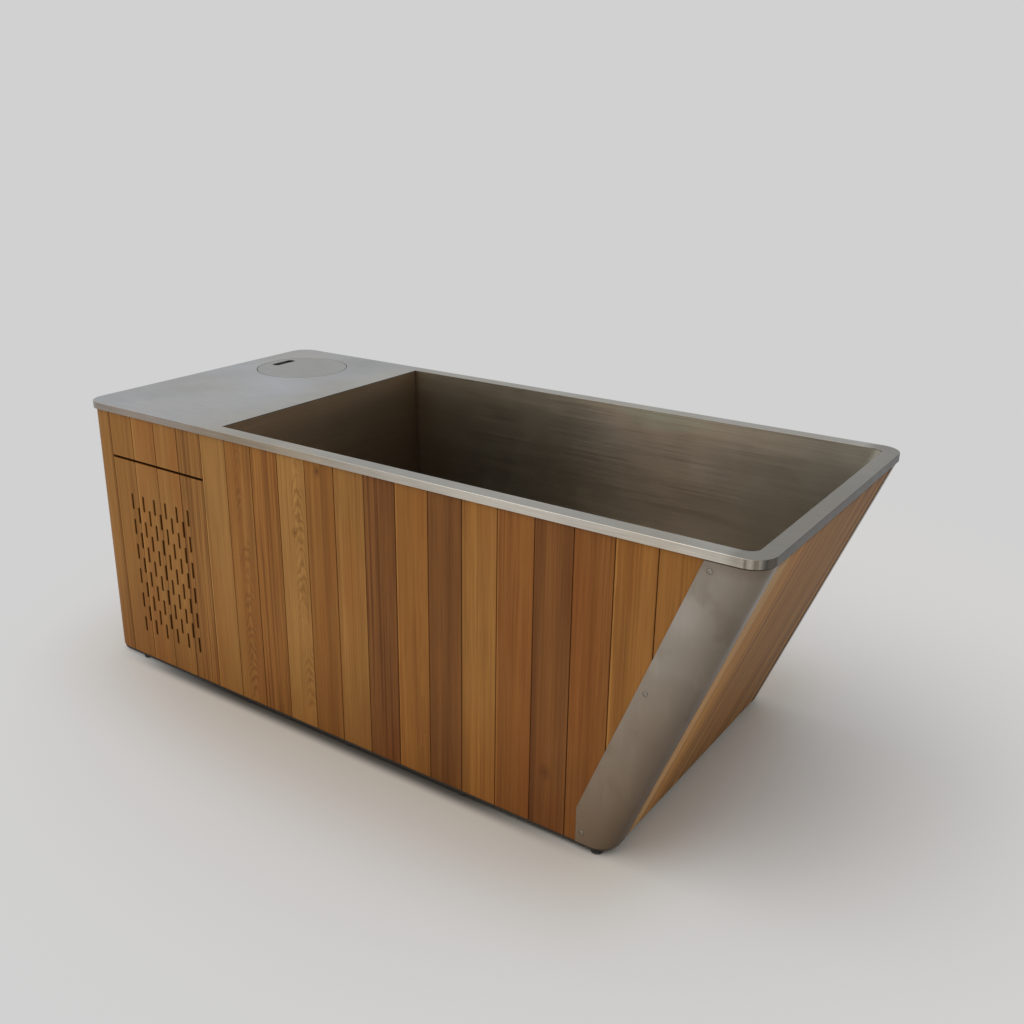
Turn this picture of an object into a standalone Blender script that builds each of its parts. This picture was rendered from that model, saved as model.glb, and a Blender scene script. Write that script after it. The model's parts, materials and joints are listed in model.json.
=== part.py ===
"""Cold plunge tub: a stainless basin and deck in a boarded body with one sloped end.

Metres, +Z up. The origin is on the floor under the middle of the rim. +X points to the
sloped end, -Y to the front, where the vent panel is. "Along" below is measured in X from
the rim's machine end, and "in" is measured in Y from the rim's front edge.
"""
import math

import bmesh
import bpy
from mathutils import Matrix, Vector

# Overall
LENGTH = 2.06
WIDTH = 0.90
HEIGHT = 0.80
SEAT = 0.0003            # clearance between pieces that touch

# Rim, deck and basin
SHEET = 0.002
RIM_EDGE = 0.020
RIM_CORNER = 0.055
OVERHANG = 0.005         # rim past the boards
DECK_LENGTH = 0.54
BASIN_FLOOR = 0.12       # above the ground
BASIN_CORNER = 0.025
SLOPE_RUN = 0.29983      # how far the sloped end leans out below the rim
SLOPE_FOAM = 0.012

# Walls, from the outside in
BOARD_THICKNESS = 0.015
BATTEN_THICKNESS = 0.010
FOAM_THICKNESS = 0.008

# Boards
FRONT_BOARDS = 20         # between the corner post and the guard
LAST_SEAM_INSET = 0.0289  # from the rim's sloped end
BOARD_GAP = 0.0016
BOARDS_PER_PANEL = 4
BATTEN_HEIGHT = 0.040
BATTEN_DROPS = (0.440, 0.085)      # below the rim's top; the base rail carries the boards' feet
POST_WIDTH = 0.0941
POST_RADIUS = 0.060
END_BOARDS = 7
SLOPED_BOARDS = 8

# Vent panel
SLIT_DROP = 0.149        # from the rim's top to the slit
SLIT_HEIGHT = 0.0075
VENT_BATTEN_DROP = 0.0185          # below the slit
VENT_BATTEN_LOW = 0.062
VENT_BATTEN_HEIGHT = 0.032
SLOT_LENGTH = 0.050
SLOT_WIDTH = 0.007
SLOT_ROWS = 6
SLOT_COLUMNS = 6
SLOT_FIRST_ALONG = 0.0685
SLOT_TOP_DROP = 0.280    # from the rim's top to the middle of the top row
SLOT_BOTTOM_ROW = 0.127

# Corner guards
GUARD_SHEET = 0.0015
GUARD_FACE = 0.123
GUARD_RADIUS = 0.050
GUARD_FLANGE = 0.020
GUARD_TOE_HEIGHT = 0.110

# Feet and frames
FOOT_HEIGHT = 0.019
FOOT_RADIUS = 0.015
FOOT_NECK = 0.011
FOOT_PAD = 0.008
FOOT_FIRST = 0.140
FOOT_SECOND = 0.0575     # past the deck's end
FOOT_END_INSET = 0.040
FOOT_IN = 0.0245          # near the boards' face, where the feet show
FEET_PER_SIDE = 5
FOOT_SIDES = 10
RAIL_WIDTH = 0.040
RAIL_HEIGHT = 0.040
BEARER_WIDTH = 0.030
BEARER_FIRST = 0.160     # past the deck's end
BEARER_LAST = 0.1625     # before the foot of the slope
BEARERS = 4
UPRIGHT = 0.030
UPRIGHT_INSET = 0.045
DECK_RAIL_DROP = 0.025
STOP_RAIL_DROP = 0.180
TRAY_LIP = 0.006

# Round lid
LID_ALONG = 0.213
LID_FROM_BACK = 0.226
LID_RADIUS = 0.144
LID_CLEARANCE = 0.0015
LID_DEPTH = 0.012
LID_LEDGE = 0.012
FINGER_SLOT_LENGTH = 0.088
FINGER_SLOT_WIDTH = 0.028
FINGER_SLOT_OFFSET = 0.102
FINGER_SLOT_SHIFT = 0.018

# Chiller
CHILLER_ALONG = 0.285
CHILLER_IN = 0.085
CHILLER_WIDTH = 0.370
CHILLER_DEPTH = 0.315
CHILLER_HEIGHT = 0.498
COIL_DEPTH = 0.035
COIL_FINS = 18
COIL_FIN_DEPTH = 0.012
COIL_INSET = 0.005
COIL_HEADER = 0.009
SHROUD_GAP = 0.005
SHROUD_MARGIN = 0.022
SHROUD_PLATE = 0.003
DUCT_LENGTH = 0.044
FAN_RADIUS = 0.148
FAN_TIP_CLEARANCE = 0.007
FAN_HUB_RADIUS = 0.030
FAN_HUB_LENGTH = 0.024
FAN_ROOT = 0.018          # where a blade starts inside the hub
FAN_ROOT_CHORD = 0.032
FAN_BLADES = 5
FAN_BLADE_CHORD = 0.072
FAN_BLADE_THICKNESS = 0.003
FAN_PITCH = math.radians(24)
FAN_SHAFT_RADIUS = 0.005
SHAFT_CLEARANCE = 0.0003
FAN_MOTOR_LENGTH = 0.045
FAN_MOTOR_STANDOFF = 0.010
COMPRESSOR_RADIUS = 0.075
COMPRESSOR_HEIGHT = 0.250
COMPRESSOR_ALONG = 0.190
EXCHANGER_RADIUS = 0.055
EXCHANGER_HEIGHT = 0.410
EXCHANGER_ALONG = 0.385
COMPRESSOR_IN = 0.290
LINE_RADIUS = 0.005
LINE_DROP = 0.060
COMPRESSOR_FOOT = 0.010
COMPRESSOR_PLATE = 0.135
DOME_STEPS = 5
STUB_OFFSET = 0.028
STUB_RISE = 0.012
STUB_RADIUS = 0.007

# Pump, filter and water lines
HOSE_RADIUS = 0.014
PUMP_ALONG = 0.410
PUMP_FROM_BACK = 0.370
PUMP_AXIS_HEIGHT = 0.150
VOLUTE_RADIUS = 0.068
VOLUTE_LENGTH = 0.052
MOTOR_RADIUS = 0.058
MOTOR_LENGTH = 0.140
MOTOR_RIB = 0.004
MOTOR_RIBS = 4
PUMP_FOOT_WIDTH = 0.044
CANISTER_RADIUS = 0.085
CANISTER_WALL = 0.004
CANISTER_DROP = 0.110    # from the deck's top
CAP_RADIUS = 0.102
CAP_HEIGHT = 0.018
CAP_SKIRT = 0.016
CAP_CLEARANCE = 0.001
CAP_KNOB = 0.018
CAP_KNOB_LENGTH = 0.122
CAP_GRIPS = 8
CARTRIDGE_PLEATS = 24
CARTRIDGE_OUTER = 0.076
CARTRIDGE_INNER = 0.062
CARTRIDGE_BORE = 0.024
PORT_LENGTH = 0.018
FITTING_FLANGE_RADIUS = 0.038
FITTING_FLANGE = 0.006
FITTINGS_OFF_MIDDLE = 0.020
SUCTION_HEIGHT = 0.220
RETURN_DROP = 0.320
FILTER_INLET_HEIGHT = 0.500
FILTER_OUTLET_HEIGHT = 0.165
EXCHANGER_INLET_HEIGHT = 0.200
EXCHANGER_OUTLET_HEIGHT = 0.400
DRAIN_ALONG = 0.620
DRAIN_HEIGHT = 0.086
DRAIN_BODY_RADIUS = 0.019
VALVE_FROM_SEAM = 0.0305 # before the first back panel's end
VALVE_FROM_BACK = 0.145
VALVE_LENGTH = 0.050
VALVE_RADIUS = 0.021
LEVER_LENGTH = 0.070
LEVER_WIDTH = 0.014
LEVER_THICKNESS = 0.005
LEVER_EYE = 0.0112
STEM_RADIUS = 0.005
STEM_HEIGHT = 0.016

# Control box and catch
CONTROL_WIDTH = 0.240
CONTROL_DEPTH = 0.170
CONTROL_HEIGHT = 0.090
CONTROL_SEAM = 0.063      # where its lid starts
GLAND_UP = 0.032
GLAND_RADIUS = 0.010
GLAND_LENGTH = 0.020
CATCH_WIDTH = 0.060
CATCH_HEIGHT = 0.020

# Planes and places that follow from the sizes above
LEFT = -LENGTH / 2
FRONT = -WIDTH / 2
WALL = OVERHANG + BOARD_THICKNESS + BATTEN_THICKNESS + FOAM_THICKNESS + SHEET + 2 * SEAT
SLOPE = SLOPE_RUN / (HEIGHT - RIM_EDGE)      # run over rise of the sloped end
LEAN = math.hypot(1, SLOPE)                  # horizontal over normal thickness on the slope
UNDER_PLATE = HEIGHT - SHEET - SEAT
UNDER_RIM = HEIGHT - RIM_EDGE - SEAT
SLOPE_TOP = LENGTH - OVERHANG                # along, where the sloped boards meet the rim
BOARD_BACK = OVERHANG + BOARD_THICKNESS
BATTEN_BACK = BOARD_BACK + BATTEN_THICKNESS
FIRST_SEAM = OVERHANG + POST_WIDTH
PITCH = (LENGTH - FIRST_SEAM - LAST_SEAM_INSET) / FRONT_BOARDS
SLIT_LEVEL = HEIGHT - SLIT_DROP - SLIT_HEIGHT
VENT_BATTEN_TOP = SLIT_LEVEL - VENT_BATTEN_DROP
LID_IN = WIDTH - LID_FROM_BACK
PUMP_IN = WIDTH - PUMP_FROM_BACK
VALVE_IN = WIDTH - VALVE_FROM_BACK
CANISTER_TOP = HEIGHT - CANISTER_DROP
FITTINGS_IN = WIDTH / 2 + FITTINGS_OFF_MIDDLE
RETURN_HEIGHT = HEIGHT - RETURN_DROP
DRAIN_IN = WIDTH / 2
FOAM_LEFT = DECK_LENGTH - SHEET - SEAT - FOAM_THICKNESS
FOAM_BOTTOM = BASIN_FLOOR - SHEET - SEAT - FOAM_THICKNESS
RAIL_TOP = FOOT_HEIGHT + RAIL_HEIGHT
RAIL_OUT = BOARD_BACK + SEAT                 # outer face of the base rails
TRAY_FLOOR = RAIL_TOP + SEAT + SHEET
ON_TRAY = TRAY_FLOOR + SEAT
PANEL_WIDTH = BOARDS_PER_PANEL * PITCH
VALVE_ALONG = FIRST_SEAM + PANEL_WIDTH - VALVE_FROM_SEAM
CIRCLE = 24                                  # sides of a round piece
MEDIUM_CIRCLE = 16
SMALL_CIRCLE = 12
BEND_STEPS = 10                              # facets of a bent sheet or a rounded post
CORNER_STEPS = 6
SLOT_STEPS = 3
BASIN_CORNER_STEPS = 4
SMOOTH = math.radians(65)                    # edges sharper than this stay sharp
LEAD = 0.006                                 # straight stretch of a tube at each port
BIG = 1.0                                    # reach of a cutter past the piece it cuts
X, Y, Z = Vector((1, 0, 0)), Vector((0, 1, 0)), Vector((0, 0, 1))

STEEL = ("stainless", (0.55, 0.54, 0.52), 0.35, 1.0)
WOOD = ("cedar", (0.42, 0.22, 0.09), 0.55, 0.0)
FRAME = ("frame_steel", (0.30, 0.31, 0.32), 0.45, 1.0)
RUBBER = ("rubber", (0.02, 0.02, 0.02), 0.8, 0.0)
FOAM = ("foam", (0.75, 0.73, 0.66), 0.9, 0.0)
PLASTIC = ("black_plastic", (0.04, 0.04, 0.045), 0.5, 0.0)
WHITE = ("white_plastic", (0.80, 0.80, 0.78), 0.45, 0.0)
ENAMEL = ("black_enamel", (0.03, 0.03, 0.035), 0.35, 0.0)
COPPER = ("copper", (0.72, 0.38, 0.22), 0.35, 1.0)
FIN = ("fin_aluminium", (0.70, 0.71, 0.72), 0.4, 1.0)
BRASS = ("brass", (0.70, 0.55, 0.25), 0.35, 1.0)


def at(along, inwards, up):
    """A point from its distances along the tub, in from the front, and up from the floor."""
    return Vector((LEFT + along, FRONT + inwards, up))


def slope_along(up, inset=0.0):
    """Along-distance of the sloped end's board face at a height, inset square to the slope."""
    return SLOPE_TOP + SLOPE * (up - (HEIGHT - RIM_EDGE)) - inset * LEAN


# Scene and object helpers
for old in list(bpy.data.objects):
    bpy.data.objects.remove(old, do_unlink=True)

tub = bpy.data.collections.new("cold_plunge_tub")
bpy.context.scene.collection.children.link(tub)


def shader(name, finish):
    slot, colour, roughness, metallic = finish
    material = bpy.data.materials.new(f"{slot} {name}")
    material.use_nodes = True
    principled = material.node_tree.nodes["Principled BSDF"]
    principled.inputs["Base Color"].default_value = (*colour, 1)
    principled.inputs["Roughness"].default_value = roughness
    principled.inputs["Metallic"].default_value = metallic
    return material


def keep(piece, name, finish, smooth=False, origin=None):
    """Name a finished piece, give it a material and put it in the tub's collection.

    A moving piece gets its origin on its joint's axis.
    """
    piece.name = name
    piece.data.name = name
    piece.data.materials.clear()
    piece.data.materials.append(shader(name, finish))
    if smooth:
        piece.data.shade_smooth()
        piece.data.set_sharp_from_angle(angle=SMOOTH)
    if origin is not None:
        shaped(piece, lambda p: p - origin)
        piece.location = origin
    for collection in list(piece.users_collection):
        collection.objects.unlink(piece)
    tub.objects.link(piece)
    return piece


def applied(piece):
    """Swap a piece's mesh for its evaluated one, so that its modifiers are used up."""
    graph = bpy.context.evaluated_depsgraph_get()
    mesh = bpy.data.meshes.new_from_object(piece.evaluated_get(graph))
    piece.modifiers.clear()
    piece.data = mesh
    return piece


def boolean(piece, other, operation):
    bool_modifier = piece.modifiers.new(operation.lower(), "BOOLEAN")
    bool_modifier.operation = operation
    bool_modifier.solver = "EXACT"
    bool_modifier.object = other
    applied(piece)
    bpy.data.objects.remove(other, do_unlink=True)
    return piece


def cut(piece, *cutters):
    for cutter in cutters:
        boolean(piece, cutter, "DIFFERENCE")
    return piece


def join(piece, *others):
    for other in others:
        boolean(piece, other, "UNION")
    return piece


def shaped(piece, change):
    """Move each vertex of a piece by a function of its place."""
    for vertex in piece.data.vertices:
        vertex.co = change(vertex.co)
    return piece


def box(low, high):
    bpy.ops.mesh.primitive_cube_add(size=1)
    cube = bpy.context.object
    middle = (low + high) / 2
    size = high - low
    return shaped(cube, lambda p: middle + Vector((p.x * size.x, p.y * size.y, p.z * size.z)))


def span(along, inwards, up):
    """A box from its ranges along, in and up."""
    return box(at(along[0], inwards[0], up[0]), at(along[1], inwards[1], up[1]))


def rod(start, end, radius, sides=CIRCLE):
    """A round bar between two points."""
    run = end - start
    bpy.ops.mesh.primitive_cylinder_add(vertices=sides, radius=radius, depth=run.length)
    bar = bpy.context.object
    turn = run.to_track_quat("Z", "Y").to_matrix()
    middle = (start + end) / 2
    return shaped(bar, lambda p: middle + turn @ p)


def welded(piece):
    """Weld a mesh's doubled points and turn its faces outwards."""
    work = bmesh.new()
    work.from_mesh(piece.data)
    bmesh.ops.remove_doubles(work, verts=work.verts, dist=1e-6)
    bmesh.ops.recalc_face_normals(work, faces=work.faces)
    work.to_mesh(piece.data)
    work.free()
    return piece


def outline(loops, low, high):
    """A flat outline, with any holes, drawn in X and Y and raised from low to high."""
    curve = bpy.data.curves.new("outline", "CURVE")
    curve.dimensions = "2D"
    curve.fill_mode = "BOTH"
    curve.extrude = (high - low) / 2
    for loop in loops:
        spline = curve.splines.new("POLY")
        spline.points.add(len(loop) - 1)
        for point, (x, y) in zip(spline.points, loop):
            point.co = (x, y, 0, 1)
        spline.use_cyclic_u = True
    drawn = bpy.data.objects.new("outline", curve)
    bpy.context.scene.collection.objects.link(drawn)
    graph = bpy.context.evaluated_depsgraph_get()
    mesh = bpy.data.meshes.new_from_object(drawn.evaluated_get(graph))
    solid = bpy.data.objects.new("outline", mesh)
    bpy.context.scene.collection.objects.link(solid)
    bpy.data.objects.remove(drawn, do_unlink=True)
    middle = (low + high) / 2
    return welded(shaped(solid, lambda p: p + Vector((0, 0, middle))))


def arc(centre, radius, start, end, steps):
    """Points on an arc, with its angles in degrees."""
    turn = [math.radians(start + (end - start) * i / steps) for i in range(steps + 1)]
    return [(centre[0] + radius * math.cos(a), centre[1] + radius * math.sin(a)) for a in turn]


def rounded(low, high, radius, steps=BEND_STEPS):
    """A rectangle's outline with four round corners."""
    (x0, y0), (x1, y1) = low, high
    return (arc((x1 - radius, y1 - radius), radius, 0, 90, steps)
            + arc((x0 + radius, y1 - radius), radius, 90, 180, steps)
            + arc((x0 + radius, y0 + radius), radius, 180, 270, steps)
            + arc((x1 - radius, y0 + radius), radius, 270, 360, steps))


def stadium(centre, length, width, steps=CORNER_STEPS):
    """A slot's outline along Y, with round ends."""
    x, y = centre
    reach = (length - width) / 2
    return (arc((x, y + reach), width / 2, 0, 180, steps)
            + arc((x, y - reach), width / 2, 180, 360, steps))


def turned(profile, foot, sides=CIRCLE):
    """A solid of revolution about Z from a closed profile of radius and height."""
    mesh = bpy.data.meshes.new("turned")
    count = len(profile)
    points = [(radius, 0, up) for radius, up in profile]
    edges = [(i, (i + 1) % count) for i in range(count)]
    if profile[0][0] == 0 and profile[-1][0] == 0:
        edges.pop()
    mesh.from_pydata(points, edges, [])
    piece = bpy.data.objects.new("turned", mesh)
    bpy.context.scene.collection.objects.link(piece)
    screw = piece.modifiers.new("turn", "SCREW")
    screw.axis = "Z"
    screw.angle = math.tau
    screw.steps = sides
    screw.render_steps = sides
    screw.use_merge_vertices = True
    screw.merge_threshold = 0.00001
    applied(piece)
    return shaped(welded(piece), lambda p: p + foot)


def tube(route, radius, resolution=2):
    """A round tube with closed ends along a list of points."""
    curve = bpy.data.curves.new("tube", "CURVE")
    curve.dimensions = "3D"
    curve.bevel_depth = radius
    curve.bevel_resolution = resolution
    curve.use_fill_caps = True
    spline = curve.splines.new("POLY")
    spline.points.add(len(route) - 1)
    for point, place in zip(spline.points, route):
        point.co = (*place, 1)
    drawn = bpy.data.objects.new("tube", curve)
    bpy.context.scene.collection.objects.link(drawn)
    graph = bpy.context.evaluated_depsgraph_get()
    mesh = bpy.data.meshes.new_from_object(drawn.evaluated_get(graph))
    solid = bpy.data.objects.new("tube", mesh)
    bpy.context.scene.collection.objects.link(solid)
    bpy.data.objects.remove(drawn, do_unlink=True)
    return welded(solid)


def route(start, leaving, end, arriving, pull, steps=10):
    """A smooth route that leaves one port squarely and enters another squarely.

    The pull is how far the curve carries on straight at each end, as a share of the way.
    """
    out = start + leaving * LEAD
    back = end - arriving * LEAD
    reach = (back - out).length * pull
    first = out + leaving * reach
    second = back - arriving * reach
    points = [start]
    for i in range(steps + 1):
        t = i / steps
        s = 1 - t
        points.append(s ** 3 * out + 3 * s * s * t * first + 3 * s * t * t * second + t ** 3 * back)
    return points + [end]


def sloped_block(along, inwards, up, inset, radius):
    """A block whose +X side lies parallel to the sloped end's boards, with its edges rounded."""
    piece = span((along, along + BIG), inwards, up)
    right = LEFT + along + BIG / 2
    shaped(piece, lambda p: Vector((LEFT + slope_along(p.z, inset), p.y, p.z)) if p.x > right else p)
    work = bmesh.new()
    work.from_mesh(piece.data)
    slanted = [e for e in work.edges if all(v.co.x > LEFT + along + SHEET for v in e.verts)
               and abs(e.verts[0].co.z - e.verts[1].co.z) > SHEET]
    bmesh.ops.bevel(work, geom=slanted, offset=radius, segments=BASIN_CORNER_STEPS, profile=0.5,
                    affect="EDGES")
    work.to_mesh(piece.data)
    work.free()
    return piece


def sheared(piece):
    """Lean an upright piece, drawn at the slope's top, along the slope."""
    top = HEIGHT - RIM_EDGE
    return shaped(piece, lambda p: Vector((p.x + SLOPE * (p.z - top), p.y, p.z)))


def mirrored(piece):
    """Turn a front piece into its back twin."""
    shaped(piece, lambda p: Vector((p.x, -p.y, p.z)))
    piece.data.flip_normals()
    return piece


def twin(piece):
    """A copy of a front piece, mirrored to the back."""
    copy = piece.copy()
    copy.data = piece.data.copy()
    bpy.context.scene.collection.objects.link(copy)
    return mirrored(copy)


# Basin, foam, deck and rim
BASIN_INSET = BOARD_THICKNESS + BATTEN_THICKNESS + SLOPE_FOAM + SHEET + 2 * SEAT


def tub_block(grow, up, corner):
    """The basin's inside, grown outwards all round, between two heights."""
    along = DECK_LENGTH - grow
    inwards = (WALL - grow, WIDTH - WALL + grow)
    return sloped_block(along, inwards, up, BASIN_INSET - grow, corner)


def with_holes(piece):
    """Cut the holes for the wall fittings and the drain through one layer of the basin."""
    for up in (SUCTION_HEIGHT, RETURN_HEIGHT):
        wall = at(DECK_LENGTH, FITTINGS_IN, up)
        cut(piece, rod(wall - X * RAIL_WIDTH, wall + X * RAIL_WIDTH, HOSE_RADIUS + SEAT))
    drain = at(DRAIN_ALONG, DRAIN_IN, BASIN_FLOOR)
    return cut(piece, rod(drain - Z * RAIL_HEIGHT, drain + Z * RAIL_HEIGHT, DRAIN_BODY_RADIUS + SEAT))


def make_basin():
    basin = tub_block(SHEET, (BASIN_FLOOR - SHEET, UNDER_PLATE), BASIN_CORNER + SHEET)
    cut(basin, tub_block(0, (BASIN_FLOOR, HEIGHT + RIM_EDGE), BASIN_CORNER))
    keep(with_holes(basin), "basin", STEEL)


def make_foam():
    inner = SHEET + SEAT
    outer = inner + FOAM_THICKNESS
    along = DECK_LENGTH - outer
    inwards = (WALL - outer, WIDTH - WALL + outer)
    skin = BOARD_THICKNESS + BATTEN_THICKNESS + SEAT
    foam = sloped_block(along, inwards, (FOAM_BOTTOM, UNDER_PLATE), skin, BASIN_CORNER + outer)
    cut(foam, tub_block(inner, (BASIN_FLOOR - inner, HEIGHT + RIM_EDGE), BASIN_CORNER + inner))
    keep(with_holes(foam), "foam_jacket", FOAM)


def make_deck_rim():
    corner = (LEFT, FRONT)
    far = (-LEFT, -FRONT)
    rim = outline([rounded(corner, far, RIM_CORNER)], HEIGHT - RIM_EDGE, HEIGHT)
    inset = rounded((LEFT + SHEET, FRONT + SHEET), (-LEFT - SHEET, -FRONT - SHEET), RIM_CORNER - SHEET)
    cut(rim, outline([inset], HEIGHT - 2 * RIM_EDGE, HEIGHT - SHEET))
    lid = at(LID_ALONG, LID_IN, HEIGHT)
    hole = LID_RADIUS + LID_CLEARANCE
    join(rim, rod(lid - Z * (LID_DEPTH + SHEET), lid - Z * SHEET / 2, hole + SHEET, 2 * CIRCLE))
    cut(rim, rod(lid - Z * LID_DEPTH, lid + Z * RIM_EDGE, hole, 2 * CIRCLE))
    cut(rim, rod(lid - Z * 2 * RIM_EDGE, lid, LID_RADIUS - LID_LEDGE, 2 * CIRCLE))
    cut(rim, tub_block(0, (BASIN_FLOOR, HEIGHT + RIM_EDGE), BASIN_CORNER))
    keep(rim, "deck_rim", STEEL, smooth=True)


def make_round_lid():
    foot = at(LID_ALONG, LID_IN, 0)
    bottom = HEIGHT - LID_DEPTH + SEAT
    under = HEIGHT - SHEET
    inner = LID_RADIUS - SHEET
    profile = [(0, HEIGHT), (LID_RADIUS, HEIGHT), (LID_RADIUS, bottom), (inner, bottom),
               (inner, under), (0, under)]
    lid = turned(profile, foot, 2 * CIRCLE)
    slot = stadium((foot.x - FINGER_SLOT_OFFSET, foot.y + FINGER_SLOT_SHIFT),
                   FINGER_SLOT_LENGTH, FINGER_SLOT_WIDTH)
    cut(lid, outline([slot], under - SHEET, HEIGHT + SHEET))
    keep(lid, "round_lid", STEEL, smooth=True, origin=foot + Z * HEIGHT)


# Cladding
def board_range(index):
    start = FIRST_SEAM + index * PITCH
    return start + BOARD_GAP / 2, start + PITCH - BOARD_GAP / 2


def merged(first, *others):
    """Separate bodies in one mesh, to cut or to be joined in one go."""
    work = bmesh.new()
    work.from_mesh(first.data)
    for other in others:
        work.from_mesh(other.data)
        bpy.data.objects.remove(other, do_unlink=True)
    work.to_mesh(first.data)
    work.free()
    return first


def batten_levels():
    return [(HEIGHT - drop, HEIGHT - drop + BATTEN_HEIGHT) for drop in BATTEN_DROPS]


def battens(along, inwards, levels):
    return merged(*[span(along, inwards, level) for level in levels])


def board_panel(first, low, high, levels):
    """Front boards side by side on their cross battens, from one height to another."""
    ranges = [board_range(first + i) for i in range(BOARDS_PER_PANEL)]
    panel = battens((ranges[0][0], ranges[-1][1]), (BOARD_BACK - SEAT, BATTEN_BACK), levels)
    for along in ranges:
        join(panel, span(along, (OVERHANG, BOARD_BACK), (low, high)))
    return panel


def slope_cutter():
    """All that lies past the corner guard's bend."""
    block = span((LENGTH, LENGTH + BIG), (-BIG, WIDTH + BIG), (0, HEIGHT + RIM_EDGE))
    middle = LEFT + LENGTH + BIG / 2

    def lean(p):
        if p.x > middle:
            return p
        return Vector((LEFT + slope_along(p.z) - GUARD_RADIUS, p.y, p.z))

    return shaped(block, lean)


def make_cladding():
    panels = math.ceil((slope_along(UNDER_PLATE) - GUARD_RADIUS - FIRST_SEAM) / PANEL_WIDTH)
    for number in range(panels):
        panel = board_panel(number * BOARDS_PER_PANEL, FOOT_HEIGHT, UNDER_PLATE, batten_levels())
        reach = FIRST_SEAM + (number + 1) * PANEL_WIDTH
        if reach > slope_along(FOOT_HEIGHT) - GUARD_RADIUS:
            cut(panel, slope_cutter())
        back = twin(panel)
        if number == 0:
            bpy.data.objects.remove(panel, do_unlink=True)
            spout = at(VALVE_ALONG, WIDTH - BATTEN_BACK - RAIL_WIDTH, DRAIN_HEIGHT)
            cut(back, rod(spout, spout + Y * (2 * RAIL_WIDTH + BATTEN_BACK), VALVE_RADIUS))
        else:
            keep(panel, f"front_panel_{number}", WOOD)
        keep(back, f"back_panel_{number + 1}", WOOD)


def make_vent_panel():
    header = board_panel(0, SLIT_LEVEL + SLIT_HEIGHT, UNDER_PLATE, batten_levels()[-1:])
    keep(header, "vent_header", WOOD)
    upper = VENT_BATTEN_TOP - VENT_BATTEN_HEIGHT
    levels = [(low, low + VENT_BATTEN_HEIGHT) for low in (VENT_BATTEN_LOW, upper)]
    panel = board_panel(0, FOOT_HEIGHT, SLIT_LEVEL, levels)
    slots = []
    top_row = HEIGHT - SLOT_TOP_DROP
    row_pitch = (top_row - SLOT_BOTTOM_ROW) / (SLOT_ROWS - 1)
    for column in range(2 * SLOT_COLUMNS - 1):
        staggered = column % 2
        along = FIRST_SEAM + SLOT_FIRST_ALONG + column * PITCH / 4
        for row in range(SLOT_ROWS - staggered):
            up = top_row - (row + staggered / 2) * row_pitch
            slots.append(stadium((LEFT + along, up), SLOT_LENGTH, SLOT_WIDTH, SLOT_STEPS))
    cutter = outline(slots, -BATTEN_BACK, BATTEN_BACK)
    cut(panel, shaped(cutter, lambda p: Vector((p.x, FRONT + OVERHANG - p.z, p.y))))
    keep(panel, "vent_panel", WOOD, origin=at(FIRST_SEAM + PANEL_WIDTH / 2, OVERHANG, SLIT_LEVEL / 2))


def make_corner_posts():
    middle = (LEFT + OVERHANG + POST_RADIUS, FRONT + OVERHANG + POST_RADIUS)
    end = OVERHANG + POST_WIDTH - BOARD_GAP / 2
    x, y = LEFT + end, FRONT + end
    outer = arc(middle, POST_RADIUS, 270, 180, BEND_STEPS)
    inner = arc(middle, POST_RADIUS - BOARD_THICKNESS, 180, 270, BEND_STEPS)
    loop = [(x, FRONT + OVERHANG), *outer, (LEFT + OVERHANG, y)]
    loop += [(LEFT + BOARD_BACK, y), *inner, (x, FRONT + BOARD_BACK)]
    post = outline([loop], FOOT_HEIGHT, UNDER_PLATE)
    keep(twin(post), "corner_post_back", WOOD, smooth=True)
    keep(post, "corner_post_front", WOOD, smooth=True)


def make_left_end():
    pitch = (WIDTH - 2 * FIRST_SEAM) / END_BOARDS
    inwards = (FIRST_SEAM + BOARD_GAP / 2, WIDTH - FIRST_SEAM - BOARD_GAP / 2)
    panel = battens((BOARD_BACK - SEAT, BATTEN_BACK), inwards, batten_levels())
    for index in range(END_BOARDS):
        near = FIRST_SEAM + index * pitch + BOARD_GAP / 2
        inwards = (near, near + pitch - BOARD_GAP)
        join(panel, span((OVERHANG, BOARD_BACK), inwards, (FOOT_HEIGHT, UNDER_PLATE)))
    keep(panel, "left_end_panel", WOOD)


def make_sloped_end():
    boards = (SLOPE_TOP - BOARD_THICKNESS * LEAN, SLOPE_TOP)
    batten_back = SLOPE_TOP - (BOARD_THICKNESS + BATTEN_THICKNESS) * LEAN
    start = OVERHANG + GUARD_RADIUS
    pitch = (WIDTH - 2 * start) / SLOPED_BOARDS
    behind = (batten_back, boards[0] + SEAT * LEAN)
    panel = battens(behind, (start, WIDTH - start), batten_levels())
    for index in range(SLOPED_BOARDS):
        near = start + index * pitch + BOARD_GAP / 2
        join(panel, span(boards, (near, near + pitch - BOARD_GAP), (FOOT_HEIGHT, UNDER_RIM)))
    keep(sheared(panel), "sloped_end_panel", WOOD)


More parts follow.
